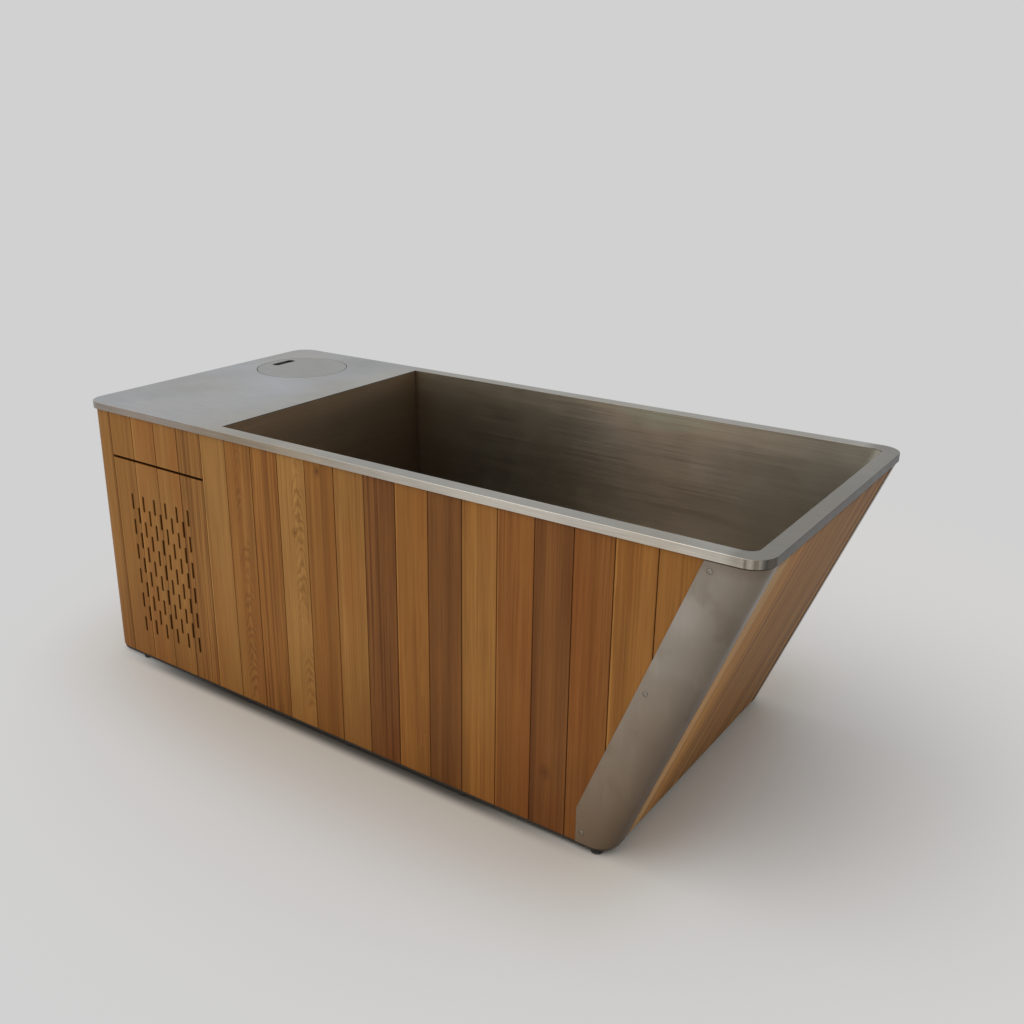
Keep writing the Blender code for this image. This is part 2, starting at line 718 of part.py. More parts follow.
def make_corner_guards():
    outer_y = FRONT + OVERHANG - SEAT - GUARD_SHEET
    inner_y = FRONT + OVERHANG - SEAT
    outer_x = LEFT + SLOPE_TOP + (SEAT + GUARD_SHEET) * LEAN
    inner_x = LEFT + SLOPE_TOP + SEAT * LEAN
    middle = (LEFT + SLOPE_TOP - GUARD_RADIUS, FRONT + OVERHANG + GUARD_RADIUS)
    start = LEFT + SLOPE_TOP - GUARD_FACE
    flange = middle[1] + GUARD_FLANGE

    def bend(x, y):
        """The guard's rounded bend between its two flat faces."""
        wide, deep = x - middle[0], middle[1] - y
        turns = [math.radians(90 * i / BEND_STEPS) for i in range(BEND_STEPS + 1)]
        return [(middle[0] + wide * math.sin(a), middle[1] - deep * math.cos(a)) for a in turns]

    loop = [(start, outer_y)] + bend(outer_x, outer_y) + [(outer_x, flange), (inner_x, flange)]
    loop += bend(inner_x, inner_y)[::-1] + [(start, inner_y)]
    guard = sheared(outline([loop], FOOT_HEIGHT, UNDER_RIM))
    toe = slope_along(GUARD_TOE_HEIGHT) - GUARD_FACE
    cut(guard, span((toe - BIG, toe), (-BIG, BIG), (-BIG, GUARD_TOE_HEIGHT)))
    keep(twin(guard), "corner_guard_back", STEEL, smooth=True)
    keep(guard, "corner_guard_front", STEEL, smooth=True)


# Feet and frames
def foot_places():
    """Where one side's feet are: one under the machines, the rest spaced from the sloped end."""
    second = DECK_LENGTH + FOOT_SECOND
    pitch = (slope_along(FOOT_HEIGHT) - FOOT_END_INSET - second) / (FEET_PER_SIDE - 2)
    return [FOOT_FIRST] + [second + pitch * i for i in range(FEET_PER_SIDE - 1)]


def make_feet():
    top = FOOT_HEIGHT - SEAT
    profile = [(0, top), (FOOT_NECK, top), (FOOT_NECK, FOOT_PAD), (FOOT_RADIUS, FOOT_PAD),
               (FOOT_RADIUS, 0), (0, 0)]
    for number, along in enumerate(foot_places(), 1):
        for side, inwards in (("front", FOOT_IN), ("back", WIDTH - FOOT_IN)):
            foot = turned(profile, at(along, inwards, 0), FOOT_SIDES)
            keep(foot, f"foot_{side}_{number}", RUBBER, smooth=True)


def make_base_frame():
    """A welded ring of rails, rounded to fit inside the posts and guards, with cross bearers."""
    left, right = RAIL_OUT, slope_along(FOOT_HEIGHT, BOARD_THICKNESS + SEAT)
    inner = RAIL_OUT + RAIL_WIDTH
    post = POST_RADIUS - BOARD_THICKNESS - SEAT
    bend = GUARD_RADIUS - BOARD_THICKNESS - SEAT
    x0, x1, y0, y1 = LEFT + left, LEFT + right, FRONT + RAIL_OUT, -FRONT - RAIL_OUT
    outer = (arc((x1 - bend, y1 - bend), bend, 0, 90, CORNER_STEPS)
             + arc((x0 + post, y1 - post), post, 90, 180, CORNER_STEPS)
             + arc((x0 + post, y0 + post), post, 180, 270, CORNER_STEPS)
             + arc((x1 - bend, y0 + bend), bend, 270, 360, CORNER_STEPS))
    near, far = LEFT + inner, x1 - RAIL_WIDTH
    hole = [(near, FRONT + inner), (far, FRONT + inner), (far, -FRONT - inner), (near, -FRONT - inner)]
    frame = outline([outer, hole], FOOT_HEIGHT, RAIL_TOP)
    across = (inner - SEAT, WIDTH - inner + SEAT)
    join(frame, span((FOAM_LEFT - RAIL_WIDTH, FOAM_LEFT), across, (FOOT_HEIGHT, RAIL_TOP)))
    first = DECK_LENGTH + BEARER_FIRST
    pitch = (slope_along(FOOT_HEIGHT) - BEARER_LAST - first) / (BEARERS - 1)
    for number in range(BEARERS):
        along = first + pitch * number
        join(frame, span((along, along + BEARER_WIDTH), across, (FOOT_HEIGHT, FOAM_BOTTOM - SEAT)))
    keep(frame, "base_frame", FRAME)


def make_deck_frame():
    near = UPRIGHT_INSET
    far = WIDTH - UPRIGHT_INSET - UPRIGHT
    left = UPRIGHT_INSET
    right = FOAM_LEFT - SEAT - UPRIGHT
    top = (HEIGHT - DECK_RAIL_DROP - UPRIGHT, HEIGHT - DECK_RAIL_DROP)
    frame = span((left, left + UPRIGHT), (near, far + UPRIGHT), top)
    join(frame, span((left + SEAT, right + UPRIGHT), (near, near + UPRIGHT), top))
    join(frame, span((right, right + UPRIGHT), (near + SEAT, far + UPRIGHT), top))
    join(frame, span((left + SEAT, right + SEAT), (far, far + UPRIGHT), top))
    for along in (left, right):
        for inwards in (near, far):
            up = (RAIL_TOP + SEAT, UNDER_PLATE)
            join(frame, span((along, along + UPRIGHT), (inwards, inwards + UPRIGHT), up))
    stop = (HEIGHT - STOP_RAIL_DROP - UPRIGHT, HEIGHT - STOP_RAIL_DROP)
    join(frame, span((left + SEAT, right + SEAT), (near, near + UPRIGHT), stop))
    keep(frame, "deck_frame", FRAME)


def make_tray():
    along = (RAIL_OUT + SEAT, FOAM_LEFT - SEAT)
    inwards = (UPRIGHT_INSET + UPRIGHT + SHEET, WIDTH - UPRIGHT_INSET - UPRIGHT - SHEET)
    floor = RAIL_TOP + SEAT
    tray = span(along, inwards, (floor, floor + TRAY_LIP))
    inner_along = (along[0] + SHEET, along[1] - SHEET)
    inner_in = (inwards[0] + SHEET, inwards[1] - SHEET)
    cut(tray, span(inner_along, inner_in, (TRAY_FLOOR, RAIL_TOP + BIG)))
    keep(tray, "equipment_tray", FRAME)


# Chiller
CASE_NEAR = CHILLER_ALONG - CHILLER_WIDTH / 2
CASE_FAR = CHILLER_ALONG + CHILLER_WIDTH / 2
CASE_TOP = ON_TRAY + CHILLER_HEIGHT
CASE_FLOOR = ON_TRAY + SHEET + SEAT          # what stands in the case stands here
FAN_HEIGHT = (ON_TRAY + CASE_TOP) / 2
COIL_FRONT = CHILLER_IN + COIL_INSET
COIL_BACK = COIL_FRONT + COIL_DEPTH
SHROUD_FRONT = COIL_BACK + SHROUD_GAP
FAN_MOTOR_FRONT = SHROUD_FRONT + FAN_HUB_LENGTH + FAN_MOTOR_STANDOFF


def make_chiller_case():
    case = span((CASE_NEAR, CASE_FAR), (CHILLER_IN, CHILLER_IN + CHILLER_DEPTH), (ON_TRAY, CASE_TOP))
    inside = (CASE_NEAR + SHEET, CASE_FAR - SHEET)
    cut(case, span(inside, (-BIG, BIG), (ON_TRAY + SHEET, CASE_TOP - SHEET)))
    keep(case, "chiller_case", ENAMEL)


def make_condenser_coil():
    """A finned block between two upright header tubes."""
    side = SHEET + SEAT + COIL_HEADER
    along = (CASE_NEAR + side, CASE_FAR - side)
    up = (CASE_FLOOR, CASE_TOP - SHEET - SEAT)
    coil = span(along, (COIL_FRONT, COIL_BACK), up)
    pitch = (along[1] - along[0] - 2 * COIL_HEADER) / COIL_FINS
    deep = (COIL_FRONT - COIL_HEADER, COIL_FRONT + COIL_FIN_DEPTH)
    tall = (up[0] + COIL_HEADER, up[1] - COIL_HEADER)
    starts = [along[0] + COIL_HEADER + pitch / 4 + fin * pitch for fin in range(COIL_FINS)]
    cut(coil, merged(*[span((start, start + pitch / 2), deep, tall) for start in starts]))
    middle = (COIL_FRONT + COIL_BACK) / 2
    for header in along:
        low = at(header, middle, up[0])
        join(coil, rod(low, at(header, middle, up[1] - SEAT), COIL_HEADER, SMALL_CIRCLE))
    keep(coil, "condenser_coil", FIN)


def fan_centre(inwards):
    """A point on the fan's axis."""
    return at(CHILLER_ALONG, inwards, FAN_HEIGHT)


def make_fan_shroud():
    """A square plate with a round duct, and a motor on four struts behind it."""
    side = SHEET + SHROUD_MARGIN
    along = (CASE_NEAR + side, CASE_FAR - side)
    up = (CASE_FLOOR, CASE_TOP - SHEET - SEAT)
    back = SHROUD_FRONT + DUCT_LENGTH
    bore = FAN_RADIUS + FAN_TIP_CLEARANCE
    shroud = span(along, (SHROUD_FRONT, SHROUD_FRONT + SHROUD_PLATE), up)
    duct_front = fan_centre(SHROUD_FRONT + SHROUD_PLATE / 2)
    join(shroud, rod(duct_front, fan_centre(back), bore + SHROUD_PLATE))
    cut(shroud, rod(fan_centre(SHROUD_FRONT - SHROUD_PLATE), fan_centre(back + SHROUD_PLATE), bore))
    strut_front, strut_back = fan_centre(back - 2 * SHROUD_PLATE), fan_centre(back)
    half = SHROUD_PLATE
    reach = bore + SHROUD_PLATE / 2
    for wide, tall in ((reach, half), (half, reach)):
        corner = Vector((wide, 0, tall))
        join(shroud, box(strut_front - corner, strut_back + corner))
    motor_front = fan_centre(FAN_MOTOR_FRONT)
    join(shroud, rod(motor_front, motor_front + Y * FAN_MOTOR_LENGTH, FAN_HUB_RADIUS))
    shaft_end = motor_front - Y * FAN_HUB_LENGTH / 2
    join(shroud, rod(shaft_end, motor_front + Y * SHROUD_PLATE, FAN_SHAFT_RADIUS, SMALL_CIRCLE))
    keep(shroud, "fan_shroud", ENAMEL)


def make_chiller_fan():
    hub_back = fan_centre(FAN_MOTOR_FRONT - SEAT)
    hub_front = hub_back - Y * FAN_HUB_LENGTH
    middle = (hub_front + hub_back) / 2
    fan = rod(hub_front, hub_back, FAN_HUB_RADIUS)
    for blade in range(FAN_BLADES):
        low = Vector((-FAN_BLADE_CHORD / 2, -FAN_BLADE_THICKNESS / 2, FAN_ROOT))
        high = Vector((FAN_BLADE_CHORD / 2, FAN_BLADE_THICKNESS / 2, FAN_RADIUS))
        paddle = box(low, high)

        def sweep(p, spin=math.tau * blade / FAN_BLADES):
            """Narrow the blade at its root, pitch it and turn it to its place on the hub."""
            share = FAN_ROOT_CHORD / FAN_BLADE_CHORD if p.z < FAN_HUB_RADIUS else 1.0
            pitched = Matrix.Rotation(FAN_PITCH, 3, "Z") @ Vector((p.x * share, p.y, p.z))
            reach = math.hypot(pitched.x, pitched.z)
            pitched *= min(1.0, FAN_RADIUS / reach)
            return middle + Matrix.Rotation(spin, 3, "Y") @ pitched

        join(fan, shaped(paddle, sweep))
    bore_end = middle - Y * 2 * SHAFT_CLEARANCE
    bore = FAN_SHAFT_RADIUS + SHAFT_CLEARANCE
    cut(fan, rod(bore_end, hub_back + Y * SHROUD_PLATE, bore, SMALL_CIRCLE))
    keep(fan, "chiller_fan", PLASTIC, smooth=True, origin=middle)


def make_compressor():
    radius, top = COMPRESSOR_RADIUS, COMPRESSOR_HEIGHT
    shoulder = top - radius / 2
    seam = top / 2
    lip = radius + SHEET
    profile = [(0, top)]
    for step in reversed(range(DOME_STEPS)):
        turn = math.pi / 2 * step / DOME_STEPS
        profile.append((radius * math.cos(turn), shoulder + radius / 2 * math.sin(turn)))
    profile += [(radius, seam + SHEET), (lip, seam + SHEET), (lip, seam - SHEET),
                (radius, seam - SHEET), (radius, COMPRESSOR_FOOT), (0, COMPRESSOR_FOOT)]
    foot = at(COMPRESSOR_ALONG, COMPRESSOR_IN, CASE_FLOOR)
    compressor = turned(profile, foot, MEDIUM_CIRCLE)
    corner = Vector((COMPRESSOR_PLATE / 2, COMPRESSOR_PLATE / 2, 0))
    join(compressor, box(foot - corner, foot + corner + Z * (COMPRESSOR_FOOT + SHEET)))
    for offset in (-STUB_OFFSET, STUB_OFFSET):
        axis = foot + X * offset
        join(compressor, rod(axis + Z * shoulder, axis + Z * (top + STUB_RISE), STUB_RADIUS, SMALL_CIRCLE))
    keep(compressor, "compressor", ENAMEL, smooth=True)


def exchanger_port(up):
    """The face of a water port on the back of the heat exchanger."""
    return at(EXCHANGER_ALONG, COMPRESSOR_IN + EXCHANGER_RADIUS + PORT_LENGTH, up)


def make_heat_exchanger():
    radius, top, edge = EXCHANGER_RADIUS, EXCHANGER_HEIGHT, EXCHANGER_RADIUS / 4
    profile = [(0, top), (radius - edge, top), (radius, top - edge), (radius, edge),
               (radius - edge, 0), (0, 0)]
    foot = at(EXCHANGER_ALONG, COMPRESSOR_IN, CASE_FLOOR)
    exchanger = turned(profile, foot, MEDIUM_CIRCLE)
    for up in (EXCHANGER_INLET_HEIGHT, EXCHANGER_OUTLET_HEIGHT):
        port = exchanger_port(up)
        join(exchanger, rod(port - Y * 2 * PORT_LENGTH, port, HOSE_RADIUS, SMALL_CIRCLE))
    keep(exchanger, "heat_exchanger", FRAME, smooth=True)


def make_refrigerant_lines():
    edge = SHEET + SEAT + COIL_HEADER + LINE_RADIUS
    coil_top = at(CASE_NEAR + edge, COIL_BACK + SEAT, CASE_TOP - LINE_DROP)
    coil_low = at(CASE_FAR - edge, COIL_BACK + SEAT, CASE_FLOOR + LINE_DROP)
    stub_top = CASE_FLOOR + COMPRESSOR_HEIGHT + STUB_RISE + SEAT
    stub_left = at(COMPRESSOR_ALONG - STUB_OFFSET, COMPRESSOR_IN, stub_top)
    stub_right = at(COMPRESSOR_ALONG + STUB_OFFSET, COMPRESSOR_IN, stub_top)
    exchanger = at(EXCHANGER_ALONG, COMPRESSOR_IN, CASE_FLOOR)
    exchanger_front = exchanger - Y * (EXCHANGER_RADIUS + SEAT) + Z * LINE_DROP
    exchanger_top = exchanger + Z * (EXCHANGER_HEIGHT + SEAT)
    lines = (("discharge_line", coil_top, Y, stub_left, -Z, 0.6),
             ("liquid_line", coil_low, Y, exchanger_front, Y, 0.45),
             ("suction_line", exchanger_top, Z, stub_right, -Z, 0.4))
    for name, start, leaving, end, arriving, pull in lines:
        line = tube(route(start, leaving, end, arriving, pull), LINE_RADIUS, resolution=1)
        keep(line, name, COPPER, smooth=True)


# Pump, filter and water lines
PUMP_FACE = at(PUMP_ALONG, PUMP_IN, PUMP_AXIS_HEIGHT)
FILTER_FOOT = at(LID_ALONG, LID_IN, ON_TRAY)
TAIL_END = FOAM_LEFT - PORT_LENGTH           # along, where the wall fittings meet their hoses


def pump_outlet():
    return PUMP_FACE + Y * VOLUTE_LENGTH / 2 + Z * (VOLUTE_RADIUS + PORT_LENGTH)


def make_pump():
    face = PUMP_FACE
    back = face + Y * VOLUTE_LENGTH
    body = rod(face, back, VOLUTE_RADIUS)
    join(body, rod(face - Y * PORT_LENGTH, face + Y * PORT_LENGTH, HOSE_RADIUS, SMALL_CIRCLE))
    join(body, rod(pump_outlet() - Z * VOLUTE_RADIUS, pump_outlet(), HOSE_RADIUS, SMALL_CIRCLE))
    half = PUMP_FOOT_WIDTH / 2
    foot_in = (PUMP_IN + SHEET, PUMP_IN + VOLUTE_LENGTH - SHEET)
    join(body, span((PUMP_ALONG - half, PUMP_ALONG + half), foot_in, (ON_TRAY, PUMP_AXIS_HEIGHT)))
    keep(body, "pump_body", PLASTIC, smooth=True)

    motor_in = (PUMP_IN + VOLUTE_LENGTH + SEAT, PUMP_IN + VOLUTE_LENGTH + SEAT + MOTOR_LENGTH)
    core = MOTOR_RADIUS - MOTOR_RIB
    step = MOTOR_LENGTH / (2 * MOTOR_RIBS + 1)
    profile = [(0, MOTOR_LENGTH), (core, MOTOR_LENGTH)]
    for rib in reversed(range(MOTOR_RIBS)):
        low = (2 * rib + 1) * step
        profile += [(core, low + step), (MOTOR_RADIUS, low + step), (MOTOR_RADIUS, low), (core, low)]
    profile += [(core, 0), (0, 0)]
    motor = turned(profile, Vector(), MEDIUM_CIRCLE)
    foot = at(PUMP_ALONG, motor_in[0], PUMP_AXIS_HEIGHT)
    shaped(motor, lambda p: foot + Vector((p.x, p.z, -p.y)))
    saddle = (motor_in[0] + MOTOR_LENGTH / 3, motor_in[1] - MOTOR_LENGTH / 3)
    join(motor, span((PUMP_ALONG - half, PUMP_ALONG + half), saddle, (ON_TRAY, PUMP_AXIS_HEIGHT)))
    keep(motor, "pump_motor", FRAME, smooth=True)


def filter_port(direction, up):
    """The face of a port on the side of the filter canister."""
    place = FILTER_FOOT + direction * (CANISTER_RADIUS + PORT_LENGTH)
    place.z = up
    return place


def make_filter():
    wall = CANISTER_RADIUS - CANISTER_WALL
    top = CANISTER_TOP - ON_TRAY
    flange = CAP_RADIUS - CANISTER_WALL - CAP_CLEARANCE
    lip = top - CAP_SKIRT
    profile = [(0, CANISTER_WALL), (wall, CANISTER_WALL), (wall, top), (flange, top), (flange, lip),
               (CANISTER_RADIUS, lip), (CANISTER_RADIUS, 0), (0, 0)]
    canister = turned(profile, FILTER_FOOT)
    for direction, up in ((X, FILTER_INLET_HEIGHT), (-Y, FILTER_OUTLET_HEIGHT)):
        port = filter_port(direction, up)
        root = port - direction * (PORT_LENGTH + CANISTER_WALL / 2)
        join(canister, rod(root, port, HOSE_RADIUS, SMALL_CIRCLE))
    keep(canister, "filter_canister", WHITE, smooth=True)

    under = top + SEAT
    skirt = CAP_RADIUS - CANISTER_WALL
    low = lip + CAP_CLEARANCE
    crown = under + CAP_HEIGHT
    profile = [(0, crown), (CAP_RADIUS, crown), (CAP_RADIUS, low), (skirt, low), (skirt, under), (0, under)]
    cap = turned(profile, FILTER_FOOT)
    for grip in range(CAP_GRIPS):
        turn = Matrix.Rotation(math.tau * grip / CAP_GRIPS, 3, "Z")
        lug = box(Vector((CAP_RADIUS - CANISTER_WALL / 2, -CANISTER_WALL, low + CAP_CLEARANCE)),
                  Vector((CAP_RADIUS + CANISTER_WALL, CANISTER_WALL, crown - CANISTER_WALL)))
        join(cap, shaped(lug, lambda p, turn=turn: FILTER_FOOT + turn @ p))
    half = Vector((CAP_KNOB_LENGTH / 2, CANISTER_WALL, 0))
    knob_foot = FILTER_FOOT + Z * (crown - CANISTER_WALL)
    join(cap, box(knob_foot - half, knob_foot + half + Z * (CANISTER_WALL + CAP_KNOB)))
    keep(cap, "filter_cap", PLASTIC, smooth=True, origin=FILTER_FOOT + Z * top)

    bottom = ON_TRAY + CANISTER_WALL + SEAT
    star = []
    for fold in range(2 * CARTRIDGE_PLEATS):
        a = math.pi * fold / CARTRIDGE_PLEATS
        radius = CARTRIDGE_INNER if fold % 2 else CARTRIDGE_OUTER
        star.append((FILTER_FOOT.x + radius * math.cos(a), FILTER_FOOT.y + radius * math.sin(a)))
    bore = arc((FILTER_FOOT.x, FILTER_FOOT.y), CARTRIDGE_BORE, 0, 360 - 360 / CIRCLE, CIRCLE - 1)
    keep(outline([star, bore], bottom, CANISTER_TOP - CAP_CLEARANCE), "filter_cartridge", WHITE)


def make_wall_fitting(name, up):
    """A flanged fitting through the basin's machine-end wall, with a tail for its hose."""
    inner = at(DECK_LENGTH + SEAT, FITTINGS_IN, up)
    fitting = rod(inner, inner + X * FITTING_FLANGE, FITTING_FLANGE_RADIUS)
    join(fitting, rod(at(TAIL_END, FITTINGS_IN, up), inner + X * FITTING_FLANGE / 2, HOSE_RADIUS, CIRCLE))
    keep(fitting, name, STEEL, smooth=True)


def make_drain():
    floor = at(DRAIN_ALONG, DRAIN_IN, BASIN_FLOOR + SEAT)
    elbow = at(DRAIN_ALONG, DRAIN_IN, DRAIN_HEIGHT)
    fitting = rod(floor, floor + Z * FITTING_FLANGE / 2, FITTING_FLANGE_RADIUS)
    join(fitting, rod(elbow - Z * DRAIN_BODY_RADIUS, floor + Z * FITTING_FLANGE / 4, DRAIN_BODY_RADIUS))
    join(fitting, rod(elbow - X * (DRAIN_BODY_RADIUS + PORT_LENGTH), elbow, HOSE_RADIUS, SMALL_CIRCLE))
    keep(fitting, "drain_fitting", STEEL, smooth=True)

    inlet = at(VALVE_ALONG, VALVE_IN, DRAIN_HEIGHT)
    outlet = inlet + Y * VALVE_LENGTH
    valve = rod(inlet, outlet, VALVE_RADIUS, 6)
    spout = at(VALVE_ALONG, WIDTH - OVERHANG, DRAIN_HEIGHT)
    join(valve, rod(outlet - Y * SHEET, spout, HOSE_RADIUS, SMALL_CIRCLE))
    stem = (inlet + outlet) / 2
    top = VALVE_RADIUS + STEM_HEIGHT
    join(valve, rod(stem, stem + Z * top, STEM_RADIUS, SMALL_CIRCLE))
    keep(valve, "drain_valve", BRASS)

    under = top - LEVER_THICKNESS
    lever = box(Vector((-LEVER_LENGTH, -LEVER_WIDTH / 2, under)), Vector((0, LEVER_WIDTH / 2, top)))
    join(lever, rod(Z * under, Z * top, LEVER_EYE))
    cut(lever, rod(Z * (under - SHEET), Z * (top + SHEET), STEM_RADIUS + SHAFT_CLEARANCE, SMALL_CIRCLE))
    keep(shaped(lever, lambda p: p + stem), "drain_valve_handle", RUBBER, origin=stem + Z * top)


def make_hoses():
    suction = at(TAIL_END - SEAT, FITTINGS_IN, SUCTION_HEIGHT)
    back = at(TAIL_END - SEAT, FITTINGS_IN, RETURN_HEIGHT)
    drain = at(DRAIN_ALONG - DRAIN_BODY_RADIUS - PORT_LENGTH - SEAT, DRAIN_IN, DRAIN_HEIGHT)
    pump_in = PUMP_FACE - Y * (PORT_LENGTH + SEAT)
    pump_out = pump_outlet() + Z * SEAT
    filter_in = filter_port(X, FILTER_INLET_HEIGHT) + X * SEAT
    filter_out = filter_port(-Y, FILTER_OUTLET_HEIGHT) - Y * SEAT
    chiller_in = exchanger_port(EXCHANGER_INLET_HEIGHT) + Y * SEAT
    chiller_out = exchanger_port(EXCHANGER_OUTLET_HEIGHT) + Y * SEAT
    valve = at(VALVE_ALONG, VALVE_IN - SEAT, DRAIN_HEIGHT)
    hoses = (
        ("suction_hose", suction, -X, pump_in, Y, 0.75),
        ("pump_to_filter_hose", pump_out, Z, filter_in, -X, 0.6),
        ("filter_to_chiller_hose", filter_out, -Y, chiller_in, -Y, 0.5),
        ("return_hose", chiller_out, Y, back, X, 0.5),
        ("drain_hose", drain, -X, valve, Y, 0.3),
    )
    for name, start, leaving, end, arriving, pull in hoses:
        hose = tube(route(start, leaving, end, arriving, pull), HOSE_RADIUS)
        keep(hose, name, PLASTIC, smooth=True)


def make_controls():
    low = at(CHILLER_ALONG - CONTROL_WIDTH / 2, CHILLER_IN + RAIL_WIDTH, CASE_TOP + SEAT)
    high = low + Vector((CONTROL_WIDTH, CONTROL_DEPTH, CONTROL_HEIGHT))
    control = box(low, high)
    lip = Vector((SHEET, SHEET, 0))
    join(control, box(low - lip + Z * CONTROL_SEAM, high + lip + Z * SHEET))
    gland = low + Y * CONTROL_DEPTH / 2 + Z * GLAND_UP
    join(control, rod(gland - X * GLAND_LENGTH, gland + X * GLAND_LENGTH, GLAND_RADIUS, 6))
    keep(control, "control_box", PLASTIC)

    middle = FIRST_SEAM + PANEL_WIDTH / 2
    up = VENT_BATTEN_TOP - VENT_BATTEN_HEIGHT / 2 - CATCH_HEIGHT / 2
    along = (middle - CATCH_WIDTH / 2, middle + CATCH_WIDTH / 2)
    catch = span(along, (BATTEN_BACK + SEAT, UPRIGHT_INSET - SEAT), (up, up + CATCH_HEIGHT))
    keep(catch, "magnet_catch", PLASTIC)


make_basin()
make_foam()
make_deck_rim()
make_round_lid()
make_cladding()
make_vent_panel()
make_corner_posts()
make_left_end()
make_sloped_end()
make_corner_guards()
make_feet()
make_base_frame()
make_deck_frame()
make_tray()
make_chiller_case()
make_condenser_coil()
make_fan_shroud()
make_chiller_fan()
make_compressor()
make_heat_exchanger()
make_refrigerant_lines()
make_pump()
make_filter()
make_wall_fitting("suction_fitting", SUCTION_HEIGHT)
make_wall_fitting("return_fitting", RETURN_HEIGHT)
make_drain()
make_hoses()
make_controls()
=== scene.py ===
import json
import math
import random

import bmesh
import bpy
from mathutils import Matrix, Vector


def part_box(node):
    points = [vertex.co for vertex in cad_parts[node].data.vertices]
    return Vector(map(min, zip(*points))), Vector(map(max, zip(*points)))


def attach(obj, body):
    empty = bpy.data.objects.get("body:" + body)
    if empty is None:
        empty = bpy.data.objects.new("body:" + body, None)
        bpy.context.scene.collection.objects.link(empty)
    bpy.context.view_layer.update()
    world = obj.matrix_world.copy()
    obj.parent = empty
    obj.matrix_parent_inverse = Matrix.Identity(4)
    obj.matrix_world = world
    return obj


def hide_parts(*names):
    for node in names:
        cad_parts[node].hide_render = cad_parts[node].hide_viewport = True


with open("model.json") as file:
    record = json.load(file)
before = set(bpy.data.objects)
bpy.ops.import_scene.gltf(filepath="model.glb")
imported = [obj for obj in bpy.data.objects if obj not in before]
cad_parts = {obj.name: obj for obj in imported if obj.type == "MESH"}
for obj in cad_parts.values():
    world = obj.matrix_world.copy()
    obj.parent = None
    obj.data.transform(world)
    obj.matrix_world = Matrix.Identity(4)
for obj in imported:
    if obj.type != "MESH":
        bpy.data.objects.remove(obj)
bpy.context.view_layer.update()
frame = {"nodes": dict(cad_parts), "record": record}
nodes = frame["nodes"]
print("frame loaded:", len(nodes), "CAD nodes")


# shader tools: a Wire is a socket that takes part in sums, a Finish is one material
class Wire:
    def __init__(self, finish, socket):
        self.finish = finish
        self.socket = socket

    def maths(self, operation, first, second):
        return self.finish.node("Math", {"operation": operation}, {0: first, 1: second})

    def __add__(self, other):
        return self.maths("ADD", self, other)

    def __radd__(self, other):
        return self.maths("ADD", other, self)

    def __sub__(self, other):
        return self.maths("SUBTRACT", self, other)

    def __mul__(self, other):
        return self.maths("MULTIPLY", self, other)

    def __truediv__(self, other):
        return self.maths("DIVIDE", self, other)

    def __pow__(self, other):
        return self.maths("POWER", self, other)

    def __abs__(self):
        return self.maths("ABSOLUTE", self, 0)


class Finish:
    def __init__(self, name):
        self.material = bpy.data.materials.new(name)
        self.material.use_nodes = True
        self.tree = self.material.node_tree
        self.shader = self.tree.nodes["Principled BSDF"]

    def node(self, kind, settings=None, sockets=None, output=0):
        made = self.tree.nodes.new("ShaderNode" + kind)
        for key, value in (settings or {}).items():
            setattr(made, key, value)
        for key, value in (sockets or {}).items():
            self.join(value, made.inputs[key])
        return Wire(self, made.outputs[output])

    def join(self, value, socket):
        if isinstance(value, Wire):
            self.tree.links.new(value.socket, socket)
        else:
            socket.default_value = value

    def shade(self, **sockets):  # underscores stand for the spaces in socket names
        for key, value in sockets.items():
            self.join(value, self.shader.inputs[key.replace("_", " ")])

    def place(self):
        return self.node("TexCoord", output="Object")

    def split(self, vector):
        return [self.node("SeparateXYZ", sockets={0: vector}, output=i) for i in range(3)]

    def noise(self, vector, scale, detail=2.0, turn=(0, 0, 0)):
        placed = self.node("Mapping", sockets={"Vector": vector, "Scale": scale, "Rotation": turn})
        return self.node("TexNoise", sockets={"Vector": placed, "Scale": 1.0, "Detail": detail})

    def ramp(self, value, low, high):
        return self.node("MapRange", {"interpolation_type": "SMOOTHSTEP"},
                         {"Value": value, "From Min": low, "From Max": high})

    def mix(self, share, first, second, how="MIX"):
        return self.node("Mix", {"data_type": "RGBA", "blend_type": how, "clamp_factor": True},
                         {0: share, 6: first, 7: second}, 2)

    def tint(self, colour, factor):
        return self.mix(1.0, colour, (*factor, 1), "MULTIPLY")

    def stain(self, colour, share, factor):  # tints the colour by a mask
        return self.mix(share, colour, self.tint(colour, factor))

    def distance(self, place, centre):
        return self.node("VectorMath", {"operation": "DISTANCE"}, {0: place, 1: centre}, "Value")

    def spot(self, colour, place, centre, radius, factor):
        return self.stain(colour, self.ramp(self.distance(place, centre), radius, 0.0), factor)

    def root(self, value):
        return self.node("Math", {"operation": "SQRT"}, {0: value})

    def bump(self, height, strength, depth):
        normal = self.node("Bump", sockets={"Height": height, "Strength": strength, "Distance": depth})
        self.shade(Normal=normal)


# modelling tools
foldAngle = 35    # degrees, from which an edge counts as sharp
hair = 0.001      # how near counts as the same place
up = Vector((0, 0, 1))


def pickOnly(*pieces):
    bpy.ops.object.select_all(action="DESELECT")
    for piece in pieces:
        piece.select_set(True)
    bpy.context.view_layer.objects.active = pieces[0]


def addBlock(low, high, turn=0.0):  # turned about Y
    bpy.ops.object.select_all(action="DESELECT")
    low, high = Vector(low), Vector(high)
    bpy.ops.mesh.primitive_cube_add(size=1, location=(low + high) / 2, rotation=(0, turn, 0))
    bpy.context.object.scale = high - low
    bpy.ops.object.transform_apply(location=True, rotation=True, scale=True)
    return bpy.context.object


